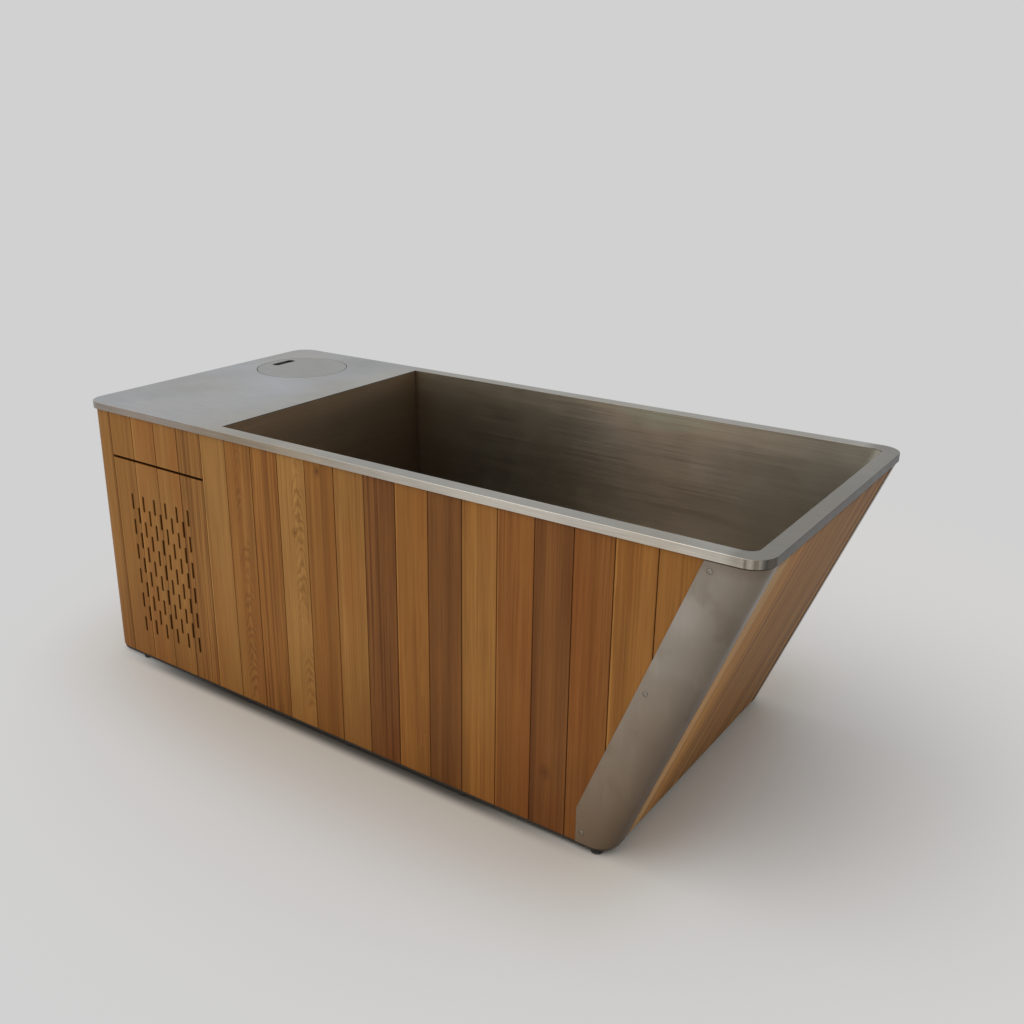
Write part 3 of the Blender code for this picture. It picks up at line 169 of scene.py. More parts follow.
def addRod(start, end, radius, sides=48):
    bpy.ops.object.select_all(action="DESELECT")
    start, end = Vector(start), Vector(end)
    run = end - start
    bpy.ops.mesh.primitive_cylinder_add(vertices=sides, radius=radius, depth=run.length,
                                        location=(start + end) / 2,
                                        rotation=run.to_track_quat("Z", "Y").to_euler())
    bpy.ops.object.transform_apply(location=True, rotation=True, scale=True)
    return bpy.context.object


def openEdit(piece, kind, chosen):
    pickOnly(piece)
    bpy.ops.object.mode_set(mode="EDIT")
    bpy.ops.mesh.select_mode(type=kind)
    bpy.ops.mesh.select_all(action="DESELECT")
    mesh = bmesh.from_edit_mesh(piece.data)
    for item in {"VERT": mesh.verts, "EDGE": mesh.edges, "FACE": mesh.faces}[kind]:
        if chosen(item):
            item.select_set(True)
    mesh.select_flush_mode()
    bmesh.update_edit_mesh(piece.data)


def closeEdit():
    bpy.ops.object.mode_set(mode="OBJECT")


def edgeRuns(edge, axis):  # is the edge parallel to an axis
    run = edge.verts[1].co - edge.verts[0].co
    return abs(run[axis]) > 0.999 * run.length


def middleOf(edge):
    return (edge.verts[0].co + edge.verts[1].co) / 2


def bevelEdges(piece, chosen, width, steps):
    openEdit(piece, "EDGE", chosen)
    bpy.ops.mesh.bevel(offset=width, segments=steps, affect="EDGES")
    closeEdit()
    return piece


def cutPlane(piece, point, normal, closed=True):  # what lies past the plane goes
    openEdit(piece, "FACE", lambda face: True)
    bpy.ops.mesh.bisect(plane_co=point, plane_no=normal, use_fill=closed, clear_outer=True)
    closeEdit()
    return piece


def applied(piece, kind, **settings):
    pickOnly(piece)
    modifier = piece.modifiers.new(kind.lower(), kind)
    for key, value in settings.items():
        setattr(modifier, key, value)
    bpy.ops.object.modifier_apply(modifier=modifier.name)
    return piece


def eased(piece, width, steps=2, angle=foldAngle):
    return applied(piece, "BEVEL", width=width, segments=steps, limit_method="ANGLE",
                   angle_limit=math.radians(angle))


def cutAway(piece, *cutters):
    for cutter in cutters:
        applied(piece, "BOOLEAN", operation="DIFFERENCE", solver="EXACT", object=cutter)
        bpy.data.objects.remove(cutter)
    return piece


def welded(piece, *others):
    for other in others:
        applied(piece, "BOOLEAN", operation="UNION", solver="EXACT", object=other)
        bpy.data.objects.remove(other)
    return piece


def joined(pieces):
    pickOnly(*pieces)
    bpy.ops.object.join()
    return pieces[0]


def copied(piece, shift):
    copy = piece.copy()
    copy.data = piece.data.copy()
    bpy.context.scene.collection.objects.link(copy)
    copy.location = shift
    pickOnly(copy)
    bpy.ops.object.transform_apply(location=True, rotation=True, scale=True)
    return copy


def settle(piece, name, finish, stands=(), body="tub"):
    piece.name = name
    piece.data.name = name
    piece.data.materials.clear()
    piece.data.materials.append(finish)
    pickOnly(piece)
    bpy.ops.object.shade_smooth_by_angle(angle=math.radians(foldAngle))
    applied(piece, "WEIGHTED_NORMAL", keep_sharp=True)    # flat faces stay flat beside their bevels
    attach(piece, body)
    if stands:
        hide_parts(*stands)
    return piece


# cladding: every board a block of its own, eased and stained by its place
cladding = {
    "boards": 4,              # to a panel
    "frontPanels": 4,
    "backPanels": 5,
    "gap": 0.0016,
    "thickness": 0.015,
    "ease": 0.0011,
    "battenDepth": 0.010,
    "battenHeight": 0.040,
    "battenDrops": (0.440, 0.085),   # below the rim's top
    "ventBattens": (0.062, 0.593),
    "ventBattenHeight": 0.032,
    "slope": 0.3844,          # run over rise of the sloped end
    "trimFrom": 0.60,         # along, where the slope starts to cut the boards
    "bend": 0.050,            # radius of the corner guards
    "endBoards": 7,
    "slopedBoards": 8,
    "postRadius": 0.060,
    "postSteps": 18,
    "postGrain": 0.04,        # from a post's edge to the middle of its grain
    "spoutRadius": 0.021,
    "spoutReach": 0.06,
    "hoseRadius": 0.014,
    "frontTones": ["golden", "tan", "tan", "tan", "honey", "golden", "amber", "honey", "amber", "tan",
                   "umber", "amber", "umber", "golden", "russet", "umber", "russet", "amber",
                   "amber", "brown"],
    "figured": (5, 7),        # boards of the front with arches, a pale edge or dark streaks
    "sappy": (1, 4, 11, 14, 17),
    "streaky": (3, 6, 10),
    "otherTones": ["tan", "golden", "amber", "russet", "brown", "honey"],
}
ventLow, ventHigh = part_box("vent_panel")
gap = cladding["gap"]
thick = cladding["thickness"]
boardPitch = (ventHigh.x - ventLow.x + gap) / cladding["boards"]
halfBoard = (boardPitch - gap) / 2

# finishes
woodTones = {  # oiled cedar, from pale sapwood to dark heartwood
    "straw": (0.400, 0.240, 0.100),
    "honey": (0.355, 0.172, 0.044),
    "tan": (0.318, 0.146, 0.035),
    "golden": (0.300, 0.134, 0.030),
    "amber": (0.285, 0.119, 0.025),
    "russet": (0.240, 0.090, 0.019),
    "nut": (0.246, 0.116, 0.029),
    "brown": (0.226, 0.094, 0.019),
    "umber": (0.195, 0.075, 0.018),
}

knots = [  # along, up and radius, on the front
    (-0.115, 0.757, 0.0050),
    (-0.203, 0.575, 0.0055),
    (0.560, 0.165, 0.0075),
]
knotHeart = (0.08, 0.030, 0.012, 1)


def cedarFinish(name, across, lean=0.0, knotty=False, lined=1.0):
    finish = Finish(name)
    along = finish.node("Mapping", sockets={"Vector": finish.place(), "Rotation": (0, -lean, 0)})
    tone = finish.node("Attribute", {"attribute_name": "boardTone"}, output="Color")
    seed = finish.node("Attribute", {"attribute_name": "boardSeed"}, output="Vector")
    marks = finish.node("Attribute", {"attribute_name": "boardMarks"}, output="Vector")
    middle, drift, spread = finish.split(seed)
    figured, sappy, streaky = finish.split(marks)
    x, y, up = finish.split(along)
    side, through = (y, x) if across == "Y" else (x, y)
    side = side - middle
    board = finish.node("CombineXYZ", sockets={0: side + drift * 3.7, 1: through + spread * 2.3,
                                               2: up + drift * 9.1})
    # growth rings round a heart line that wanders along the board
    wander = finish.noise(board, (4, 4, 1.1), 2) - 0.5
    heart = side + (drift - 0.5) * 0.10 + wander * 0.11
    wobble = finish.noise(board, (40, 40, 12), 2)
    square = heart * heart
    rings = finish.root(square + 0.0004)
    rings = rings / (0.0055 + spread * 0.0070) + wobble * 1.1
    late = finish.node("Math", {"operation": "FRACT"}, {0: rings}) ** 2.5
    # broken arches on the boards sawn through the heart
    ripple = finish.noise(board, (55, 55, 26), 3)
    arches = finish.node("Math", {"operation": "FRACT"}, {0: up * 30 + square / 0.00040 + ripple * 2.6})
    arches = finish.ramp(abs(arches - 0.5), 0.08, 0.46) * finish.ramp(abs(heart), 0.034, 0.008) * figured
    arches = arches * finish.ramp(finish.noise(board, (9, 9, 7), 2), 0.40, 0.58)
    # fibres, soft streaks and slow changes along the board
    fibre = finish.noise(board, (620, 620, 6.5), 4)
    band = finish.noise(board, (85, 85, 1.3), 4)
    streak = finish.noise(board, (26, 26, 0.55), 3)
    line = finish.noise(board, (230, 230, 1.9), 3)
    slow = finish.noise(board, (6, 6, 1.6), 2)
    patch = finish.noise(board, (14, 14, 3.4), 3)
    dark = finish.tint(tone, (0.54, 0.46, 0.42))
    pale = finish.tint(tone, (1.30, 1.38, 1.48))
    warm = finish.tint(tone, (1.02, 0.86, 0.74))
    colour = finish.mix(finish.ramp(slow, 0.46, 0.66) * 0.7, tone, warm)
    colour = finish.mix(late * 0.26, colour, dark)
    colour = finish.mix(finish.ramp(streak, 0.52, 0.72) * min(0.65 * lined, 1.0), colour, dark)
    colour = finish.mix(finish.ramp(streak, 0.47, 0.27) * 0.7, colour, pale)
    colour = finish.mix(finish.ramp(band, 0.52, 0.76) * 0.45, colour, dark)
    colour = finish.mix(finish.ramp(band, 0.48, 0.26) * 0.35, colour, pale)
    colour = finish.mix(finish.ramp(band, 0.55, 0.66) * streaky * 0.8, colour, dark)
    colour = finish.mix(finish.ramp(line, 0.53, 0.60) * streaky * 0.6, colour, dark)
    colour = finish.mix(finish.ramp(fibre, 0.42, 0.75) * 0.38, colour, dark)
    colour = finish.mix(finish.ramp(line, 0.54, 0.74) * (0.42 * lined), colour, dark)
    colour = finish.mix(finish.ramp(line, 0.46, 0.28) * (0.22 * lined), colour, pale)
    colour = finish.stain(colour, finish.ramp(patch, 0.52, 0.72) * 0.5, (0.84, 0.80, 0.76))
    colour = finish.stain(colour, finish.ramp(patch, 0.48, 0.28) * 0.5, (1.14, 1.16, 1.16))
    colour = finish.mix(arches * 0.6, colour, dark)
    sapwood = finish.ramp(side + (wobble - 0.5) * 0.008, 0.006 - halfBoard,
                          0.002 - halfBoard + spread * 0.004)
    colour = finish.mix(sapwood * sappy * 0.85, colour, pale)
    # painted shade along each board's edges, where the seams between boards fall in shadow
    edges = finish.ramp(abs(side), halfBoard - 0.0026, halfBoard - 0.0004) * (0.2 + spread * 0.5)
    colour = finish.mix(edges, colour, dark)
    colour = finish.stain(colour, finish.ramp(up, 0.36, 0.02) * 0.9, (0.80, 0.74, 0.66))
    if lean:  # the sloped end, in the rim's shadow at its top
        height = finish.split(finish.place())[2]
        colour = finish.stain(colour, finish.ramp(height, 0.745, 0.779), (0.50, 0.49, 0.48))
    if knotty:  # the front, with painted shade inside its slots and seams, and its knots
        recessShade = finish.ramp(y, ventLow.y + 0.001, ventLow.y + 0.004)
        recessShade = recessShade * finish.ramp(x, ventLow.x - 0.002, ventLow.x)
        colour = finish.stain(colour, recessShade, (0.36, 0.30, 0.26))
        for knotX, knotUp, radius in knots:
            away = finish.node("CombineXYZ", sockets={0: x - knotX, 1: 0.0, 2: (up - knotUp) * 0.7})
            reach = finish.node("VectorMath", {"operation": "LENGTH"}, {0: away}, "Value")
            reach = reach + (wobble - 0.5) * 0.008
            colour = finish.mix(finish.ramp(reach, radius * 2.8, radius) * 0.5, colour, dark)
            colour = finish.mix(finish.ramp(reach, radius, radius * 0.3) * 0.6, colour, knotHeart)
    finish.shade(Base_Color=colour, Roughness=0.52 + fibre * 0.16, Specular_IOR_Level=0.16)
    finish.bump(fibre * 0.5 + band * 0.3 + late * 0.3, 0.2, 0.0006)
    return finish.material


def steelFinish(name, colour, roughness, brush, warmth=(1, 0.95, 0.88), contrast=0.14, patches=0.0,
                fades=(), faces=(), spots=(), corner=None):
    # a fade names an axis, where it starts and ends, and the tint it ends with
    # a face names its normal's axis and way, an axis along it, start, end and the tints there
    # as used here, the fades, faces, spots and corner bands paint light, shade and reflections into the
    # colour
    finish = Finish(name)
    place = finish.place()
    lines = finish.noise(place, brush, 3)
    cloud = finish.noise(place, (2.3, 2.3, 2.3), 2)
    smear = finish.noise(place, (13, 13, 9), 4)
    bright = (*[c * (1 + contrast) for c in colour], 1)
    dull = (*[c * (1 - contrast) for c in colour], 1)
    shade = finish.mix(finish.ramp(lines, 0.30, 0.70), dull, bright)
    shade = finish.stain(shade, finish.ramp(cloud, 0.38, 0.66) * 0.7, warmth)
    rough = roughness + (lines - 0.5) * 0.22 + (smear - 0.5) * 0.12
    patch = finish.ramp(finish.noise(place, (4.5, 3.0, 4.5), 3), 0.40, 0.62)
    shade = finish.stain(shade, patch * patches, (0.80, 0.81, 0.82))
    ways = finish.split(place)
    dashes = finish.noise(place, [b * 0.46 if b > 100 else b * 4.5 for b in brush], 2)
    shade = finish.stain(shade, finish.ramp(dashes, 0.35, 0.65) * (contrast * 2), (0.78, 0.77, 0.75))
    for axis, start, end, tint in fades:
        shade = finish.stain(shade, finish.ramp(ways[axis], start, end), tint)
    for centre, radius, tint in spots:
        shade = finish.spot(shade, place, centre, radius, tint)
    if faces or corner:
        facing = finish.split(finish.node("TexCoord", output="Normal"))
    for axis, way, along, start, end, first, last in faces:
        tint = finish.mix(finish.ramp(ways[along], start, end), (*first, 1), (*last, 1))
        shade = finish.mix(finish.ramp(facing[axis] * way, 0.55, 0.80), shade,
                           finish.mix(1.0, shade, tint, "MULTIPLY"))
    if corner:  # upright light and dark bands of painted reflection where the sheet is bent round the corners
        reach, side = corner
        bent = finish.ramp(ways[0], reach - 0.008, reach + 0.004)
        bent = bent * finish.ramp(abs(ways[1]), side - 0.008, side + 0.004)
        bent = bent * finish.ramp(abs(facing[2]), 0.5, 0.2)
        reflectionBands = finish.noise(place, (62, 62, 0.5), 3)
        shade = finish.stain(shade, bent * finish.ramp(reflectionBands, 0.52, 0.34), (0.50, 0.45, 0.38))
        shade = finish.stain(shade, bent * finish.ramp(reflectionBands, 0.50, 0.68), (1.75, 1.62, 1.42))
    finish.shade(Base_Color=shade, Roughness=rough, Metallic=1.0)
    finish.bump(lines * 0.25, 0.35, 0.0012)
    return finish.material


def mouldedFinish(name, colour, roughness, grain=420, metallic=0.0, fade=1.25):
    finish = Finish(name)
    place = finish.place()
    speck = finish.noise(place, (grain, grain, grain), 2)
    cloud = finish.noise(place, (8, 8, 8), 3)
    worn = (*[min(1, c * fade + 0.004) for c in colour], 1)
    shade = finish.mix(finish.ramp(cloud, 0.4, 0.7) * 0.6, (*colour, 1), worn)
    finish.shade(Base_Color=shade, Roughness=roughness + (speck - 0.5) * 0.14 + (cloud - 0.5) * 0.1,
                 Metallic=metallic)
    finish.bump(speck, 0.12, 0.0004)
    return finish.material


def guardFinish(name, colour, edge, lean, run, spots):
    # satin sheet, with painted reflection making it lighter along its free edge and darker towards the bend,
    # darker towards the bottom, a painted shadow under the rim, and stains and scratches low down
    finish = Finish(name)
    place = finish.place()
    x, _, up = finish.split(place)
    inward = (x - edge - up * lean) / run
    satin = finish.noise(place, (110, 110, 420), 3)
    cloud = finish.noise(place, (5, 5, 3.2), 2)
    stain = finish.noise(place, (15, 15, 11), 5)
    scratch = finish.noise(place, (40, 40, 420), 1.0, (0, 0.5, 0))
    base = (*colour, 1)
    light = (*[c * f for c, f in zip(colour, (1.34, 1.40, 1.46))], 1)
    deep = (*[c * f for c, f in zip(colour, (0.58, 0.56, 0.54))], 1)
    # painted reflection: lighter along the free edge, darker towards the bend
    shade = finish.mix(finish.ramp(inward + (cloud - 0.5) * 0.5, 0.65, 0.0) * 0.55, base, light)
    shade = finish.mix(finish.ramp(inward + (cloud - 0.5) * 0.3, 0.45, 1.05) * 0.9, shade, deep)
    # darker towards the bottom
    shade = finish.stain(shade, finish.ramp(up, 0.62, 0.06), (0.88, 0.79, 0.71))
    # painted shadow under the rim along the guard's top edge
    shade = finish.stain(shade, finish.ramp(up, 0.742, 0.778) * 0.6, (0.60, 0.54, 0.48))
    shade = finish.stain(shade, finish.ramp(up, 0.7752, 0.7768), (0.30, 0.26, 0.22))
    for centre, radius, tint in spots:
        shade = finish.spot(shade, place, centre, radius, tint)
    tarnish = finish.ramp(up + inward * 0.05 + (stain - 0.5) * 0.10, 0.535, 0.505)
    shade = finish.stain(shade, tarnish * 0.35, (0.80, 0.76, 0.70))
    marks = finish.ramp(scratch, 0.66, 0.70) * finish.ramp(up, 0.30, 0.10) * finish.ramp(inward, 0.6, 0.1)
    shade = finish.stain(shade, marks * 0.8, (0.55, 0.52, 0.50))
    shade = finish.stain(shade, finish.ramp(stain, 0.56, 0.70) * 0.45, (0.76, 0.72, 0.68))
    rubbed = finish.noise(place, (34, 34, 7), 4)
    shade = finish.stain(shade, finish.ramp(rubbed, 0.52, 0.70) * 0.4, (1.16, 1.16, 1.15))
    finish.shade(Base_Color=shade, Roughness=0.34 + (satin - 0.5) * 0.14 + (stain - 0.5) * 0.14, Metallic=1.0)
    finish.bump(satin * 0.25 + cloud * 0.8, 0.25, 0.0012)
    return finish.material


deckSteel = steelFinish("brushed deck steel", (0.472, 0.482, 0.498), 0.33, (5, 520, 520), contrast=0.10,
                        patches=0.5, fades=[
    (0, 0.93, 0.97, (0.66, 0.64, 0.62)),         # painted shade on the short end
    # painted shade, warmer and darker, on the rim round the basin
    (0, -0.66, -0.44, (0.94, 0.90, 0.80))], faces=[
    (1, -1, 0, -0.55, 0.50, (0.85, 0.71, 0.59), (1.64, 1.55, 1.48)),    # painted reflection on the turned-down front, brighter towards the sloped end
    (0, 1, 1, -0.40, 0.40, (0.27, 0.27, 0.28), (0.27, 0.27, 0.28))], spots=[    # and painted shade on the short end's face
    # a painted reflection near the lid, and a darker patch behind it
    ((-0.70, 0.02, 0.80), 0.17, (1.10, 1.13, 1.18)),
    ((-0.72, 0.38, 0.80), 0.22, (0.82, 0.82, 0.78))], corner=(0.975, 0.395))
lidSteel = steelFinish("brushed lid steel", (0.385, 0.389, 0.385), 0.36, (5, 520, 520), contrast=0.10)
basinSteel = steelFinish("brushed basin steel", (0.360, 0.322, 0.252), 0.42, (3, 3, 420), (1, 0.96, 0.90),
                         contrast=0.06, fades=[
    (0, -0.470, -0.487, (0.82, 0.72, 0.68)),     # painted shade on the machine end's wall
    # painted light and reflection towards the middle, painted shade towards the sloped end
    (0, -0.40, 0.45, (1.70, 1.68, 1.68)),
    (0, 0.08, 0.32, (1.48, 1.45, 1.54)),
    (0, 0.36, 0.90, (0.55, 0.61, 0.65)),
    (2, 0.72, 0.50, (0.80, 0.78, 0.76)),         # painted shade low down, painted light under the rim
    (2, 0.70, 0.785, (1.30, 1.28, 1.25))], faces=[
    (2, 1, 0, -0.40, 0.40, (1.20, 1.36, 1.66), (0.60, 0.71, 0.83))])    # the floor, tinted to take back much of the painted light and shade along it
weldSteel = steelFinish("weld steel", (0.10, 0.088, 0.068), 0.55, (200, 200, 200))
screwSteel = steelFinish("screw steel", (0.36, 0.335, 0.30), 0.36, (300, 300, 300))
cedarFront = cedarFinish("cedar boards along", "X", knotty=True)
cedarBack = cedarFinish("cedar boards behind", "X")
cedarEnd = cedarFinish("cedar boards across", "Y")
slotFinish = {
    "stainless": deckSteel,
    "cedar": cedarBack,
    "frame_steel": mouldedFinish("dark powder coat", (0.060, 0.061, 0.064), 0.52, 300),
    "rubber": mouldedFinish("black rubber", (0.018, 0.018, 0.019), 0.72, 300),
    "foam": mouldedFinish("insulating foam", (0.70, 0.67, 0.58), 0.9, 180, fade=0.85),
    "black_plastic": mouldedFinish("black moulded plastic", (0.028, 0.028, 0.030), 0.48),
    "white_plastic": mouldedFinish("white moulded plastic", (0.74, 0.74, 0.71), 0.42, fade=0.93),
    "black_enamel": mouldedFinish("black enamel", (0.030, 0.031, 0.034), 0.34, 240),
    "copper": mouldedFinish("drawn copper", (0.60, 0.29, 0.16), 0.32, 120, 1.0, 0.7),
    "fin_aluminium": mouldedFinish("fin aluminium", (0.62, 0.63, 0.64), 0.40, 160, 1.0, 0.85),
    "brass": mouldedFinish("cast brass", (0.55, 0.40, 0.16), 0.36, 200, 1.0, 0.8),
}
for part in frame["record"]["subparts"]:
    mesh = nodes[part["node"]].data
    mesh.materials.clear()
    mesh.materials.append(slotFinish[part["material_slot"]])
print("finishes made")


# boards, cut one by one
slots = {"length": 0.050, "width": 0.0085, "rows": 6, "columns": 6, "firstAlong": 0.0685,
         "topRow": 0.520, "bottomRow": 0.127, "cutFrom": -0.01, "cutTo": 0.04}
dice = random.Random(11)
rimLow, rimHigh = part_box("deck_rim")
slopedLow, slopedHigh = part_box("sloped_end_panel")
firstSeam = ventLow.x - gap / 2
boardFoot = ventLow.z
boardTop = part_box("front_panel_1")[1].z
slopeTurn = math.atan(cladding["slope"])
slopeOut = Vector((math.cos(slopeTurn), 0, -math.sin(slopeTurn)))
bendPoint = Vector((slopedHigh.x - cladding["bend"], 0, slopedHigh.z))
battenSpans = [(rimHigh.z - drop, rimHigh.z - drop + cladding["battenHeight"])
               for drop in cladding["battenDrops"]]


def stainBoards(piece, boardOf):  # boardOf gives a face's tone, seed and board middle
    mesh = piece.data
    kinds = {"boardTone": "FLOAT_COLOR", "boardSeed": "FLOAT_VECTOR", "boardMarks": "FLOAT_VECTOR"}
    for name, kind in kinds.items():
        mesh.attributes.new(name, kind, "FACE")
    tone, seed, marks = [mesh.attributes[name] for name in kinds]
    for face in mesh.polygons:
        name, middle, draw = boardOf(face.center)
        tone.data[face.index].color = (*[c * draw["shade"] for c in woodTones[name]], 1)
        seed.data[face.index].vector = (middle, draw["drift"], draw["spread"])
        marks.data[face.index].vector = draw["marks"]


def boardDraws(count):  # a place in the grain, a small change of tone and marks for each board
    return [{"drift": dice.random(), "spread": dice.random(), "shade": dice.uniform(1.00, 1.10),
             "marks": [float(dice.random() < chance) for chance in (0.2, 0.25, 0.2)]}
            for _ in range(count)]


def tonesFor(count):
    return [dice.choice(cladding["otherTones"]) for _ in range(count)]


def boardRow(first, outer, inward, low, high):
    # upright boards side by side; outer is the Y of their faces and inward points to the tub
    back = outer + inward * thick
    row = []
    for index in range(first, first + cladding["boards"]):
        left = firstSeam + index * boardPitch + gap / 2
        ends = sorted((outer, back))
        board = addBlock((left, ends[0], low), (left + boardPitch - gap, ends[1], high))
        if index * boardPitch + boardPitch + firstSeam > cladding["trimFrom"]:
            cutPlane(board, bendPoint, slopeOut)
        row.append(board)
    return eased(joined([board for board in row if board.data.polygons]), cladding["ease"])


def battensBehind(first, outer, inward, spans):
    back = outer + inward * thick
    ends = sorted((back, back + inward * cladding["battenDepth"]))
    left = firstSeam + first * boardPitch + gap / 2
    right = left + cladding["boards"] * boardPitch - gap
    made = []
    for low, high in spans:
        batten = addBlock((left, ends[0], low), (right, ends[1], high))
        made.append(cutPlane(batten, bendPoint, slopeOut) if right > cladding["trimFrom"] else batten)
    return made


def panelOf(first, outer, inward, low, high, spans):  # boards on their battens
    return joined([boardRow(first, outer, inward, low, high)] + battensBehind(first, outer, inward, spans))


def boardBy(axis, start, pitch, tones, draws):  # finds the board that a face belongs to
    def boardOf(centre):
        index = max(0, min(len(tones) - 1, int((centre[axis] - start) / pitch)))
        return tones[index], start + (index + 0.5) * pitch, draws[index]
    return boardOf


frontTones = cladding["frontTones"]
frontDraws = boardDraws(len(frontTones))
for index, draw in enumerate(frontDraws):
    draw["marks"] = [float(index in cladding[mark]) for mark in ("figured", "sappy", "streaky")]
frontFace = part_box("front_panel_1")[0].y
frontBoard = boardBy(0, firstSeam, boardPitch, frontTones, frontDraws)
for number in range(1, cladding["frontPanels"] + 1):
    panel = panelOf(number * cladding["boards"], frontFace, 1, boardFoot, boardTop, battenSpans)
    stainBoards(panel, frontBoard)
    settle(panel, f"frontBoards{number}", cedarFront, [f"front_panel_{number}"])
print("front boards made")

backTones = tonesFor(len(frontTones))
backDraws = boardDraws(len(frontTones))
for number in range(1, cladding["backPanels"] + 1):
    panel = panelOf((number - 1) * cladding["boards"], -frontFace, -1, boardFoot, boardTop, battenSpans)
    if number == 1:
        spoutLow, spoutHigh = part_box("drain_valve")
        spoutX = (spoutLow.x + spoutHigh.x) / 2
        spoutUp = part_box("drain_hose")[0].z + cladding["hoseRadius"]
        ends = [spoutHigh.y - cladding["spoutReach"], spoutHigh.y + cladding["spoutReach"]]
        spout = addRod((spoutX, ends[0], spoutUp), (spoutX, ends[1], spoutUp), cladding["spoutRadius"])
        cutAway(panel, spout)
    stainBoards(panel, boardBy(0, firstSeam, boardPitch, backTones, backDraws))
    settle(panel, f"backBoards{number}", cedarBack, [f"back_panel_{number}"])
print("back boards made")

headLow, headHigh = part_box("vent_header")
header = panelOf(0, frontFace, 1, headLow.z, headHigh.z, battenSpans[1:])
stainBoards(header, frontBoard)
settle(header, "ventHeaderBoards", cedarFront, ["vent_header"])

ventSpans = [(low, low + cladding["ventBattenHeight"]) for low in cladding["ventBattens"]]
vent = panelOf(0, frontFace, 1, boardFoot, ventHigh.z, ventSpans)
half, tall = slots["width"] / 2, slots["length"] / 2
slotTool = addBlock((-half, frontFace + slots["cutFrom"], -tall), (half, frontFace + slots["cutTo"], tall))
bevelEdges(slotTool, lambda edge: edgeRuns(edge, 1), half * 0.98, 6)    # round ends
rowPitch = (slots["topRow"] - slots["bottomRow"]) / (slots["rows"] - 1)
slotTools = []
for column in range(2 * slots["columns"] - 1):
    staggered = column % 2
    for row in range(slots["rows"] - staggered):
        along = firstSeam + slots["firstAlong"] + column * boardPitch / 4
        slotTools.append(copied(slotTool, (along, 0, slots["topRow"] - (row + staggered / 2) * rowPitch)))
bpy.data.objects.remove(slotTool)
cutAway(vent, joined(slotTools))
stainBoards(vent, frontBoard)
settle(vent, "ventPanelBoards", cedarFront, ["vent_panel"], "vent_door")
print("vent panel made")

# rounded posts at the machine end
def roundUpright(block, x, y, radius):  # rounds the upright edge that stands at x, y
    bevelEdges(block, lambda edge: edgeRuns(edge, 2) and abs(middleOf(edge).x - x) < hair
               and abs(middleOf(edge).y - y) < hair, radius, cladding["postSteps"])


for side, label in ((-1, "Front"), (1, "Back")):
    stands = "corner_post_" + label.lower()
    postLow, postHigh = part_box(stands)
    post = addBlock(postLow, postHigh)
    roundUpright(post, postLow.x, postLow.y if side < 0 else postHigh.y, cladding["postRadius"])
    innerLow = postLow + Vector((thick, -side * thick, -thick))
    innerHigh = postHigh + Vector((thick, -side * thick, thick))
    hollow = addBlock(innerLow, innerHigh)
    roundUpright(hollow, innerLow.x, innerLow.y if side < 0 else innerHigh.y, cladding["postRadius"] - thick)
    cutAway(post, hollow)
    eased(post, cladding["ease"])
    draw = boardDraws(1)[0]
    stainBoards(post, lambda centre: ("tan", postLow.x + cladding["postGrain"], draw))
    settle(post, "cornerPost" + label, cedarFront if side < 0 else cedarBack, [stands])

# machine end: boards across
endLow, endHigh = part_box("left_end_panel")
endPitch = (endHigh.y - endLow.y + gap) / cladding["endBoards"]
endTones = tonesFor(cladding["endBoards"])
endDraws = boardDraws(cladding["endBoards"])
endRow = []
for index in range(cladding["endBoards"]):
    near = endLow.y + index * endPitch
    endRow.append(addBlock((endLow.x, near, endLow.z), (endLow.x + thick, near + endPitch - gap, endHigh.z)))
endPanel = eased(joined(endRow), cladding["ease"])
endBattens = [addBlock((endLow.x + thick, endLow.y, low), (endHigh.x, endHigh.y, high))
              for low, high in battenSpans]
endPanel = joined([endPanel] + endBattens)
stainBoards(endPanel, boardBy(1, endLow.y, endPitch, endTones, endDraws))
settle(endPanel, "machineEndBoards", cedarEnd, ["left_end_panel"])

# sloped end: boards turned to lie along the slope, then trimmed level
slopedPitch = (slopedHigh.y - slopedLow.y + gap) / cladding["slopedBoards"]
slopedTones = ["straw", "tan", "nut", "nut", "nut", "nut", "nut", "nut"]
slopedDraws = boardDraws(cladding["slopedBoards"])
slopeFace = Vector((slopedHigh.x, 0, slopedHigh.z))
slopeAlong = Vector((math.sin(slopeTurn), 0, math.cos(slopeTurn)))


def slopedBlock(inset, depth, near, far, low, high):
    # a slab lying along the slope, its face square inset from the boards' face
    reach = (high - low) / slopeAlong.z + 0.1
    middle = slopeFace + slopeAlong * ((low + high) / 2 - slopedHigh.z) / slopeAlong.z
    middle = middle - slopeOut * (inset + depth / 2)
    half = Vector((depth / 2, (far - near) / 2, reach / 2))
    middle.y = (near + far) / 2
    slab = addBlock(middle - half, middle + half, slopeTurn)
    cutPlane(slab, (0, 0, high), up)
    return cutPlane(slab, (0, 0, low), -up)


slopedRow = []
for index in range(cladding["slopedBoards"]):
    near = slopedLow.y + index * slopedPitch
    slopedRow.append(slopedBlock(0, thick, near, near + slopedPitch - gap, slopedLow.z, slopedHigh.z))
slopedPanel = eased(joined(slopedRow), cladding["ease"])
slopedBattens = [slopedBlock(thick, cladding["battenDepth"], slopedLow.y, slopedHigh.y, low, high)
                 for low, high in battenSpans]
slopedPanel = joined([slopedPanel] + slopedBattens)
stainBoards(slopedPanel, boardBy(1, slopedLow.y, slopedPitch, slopedTones, slopedDraws))
cedarSlope = cedarFinish("cedar boards on the slope", "Y", slopeTurn, lined=1.8)
settle(slopedPanel, "slopedEndBoards", cedarSlope, ["sloped_end_panel"])
print("ends and posts made")

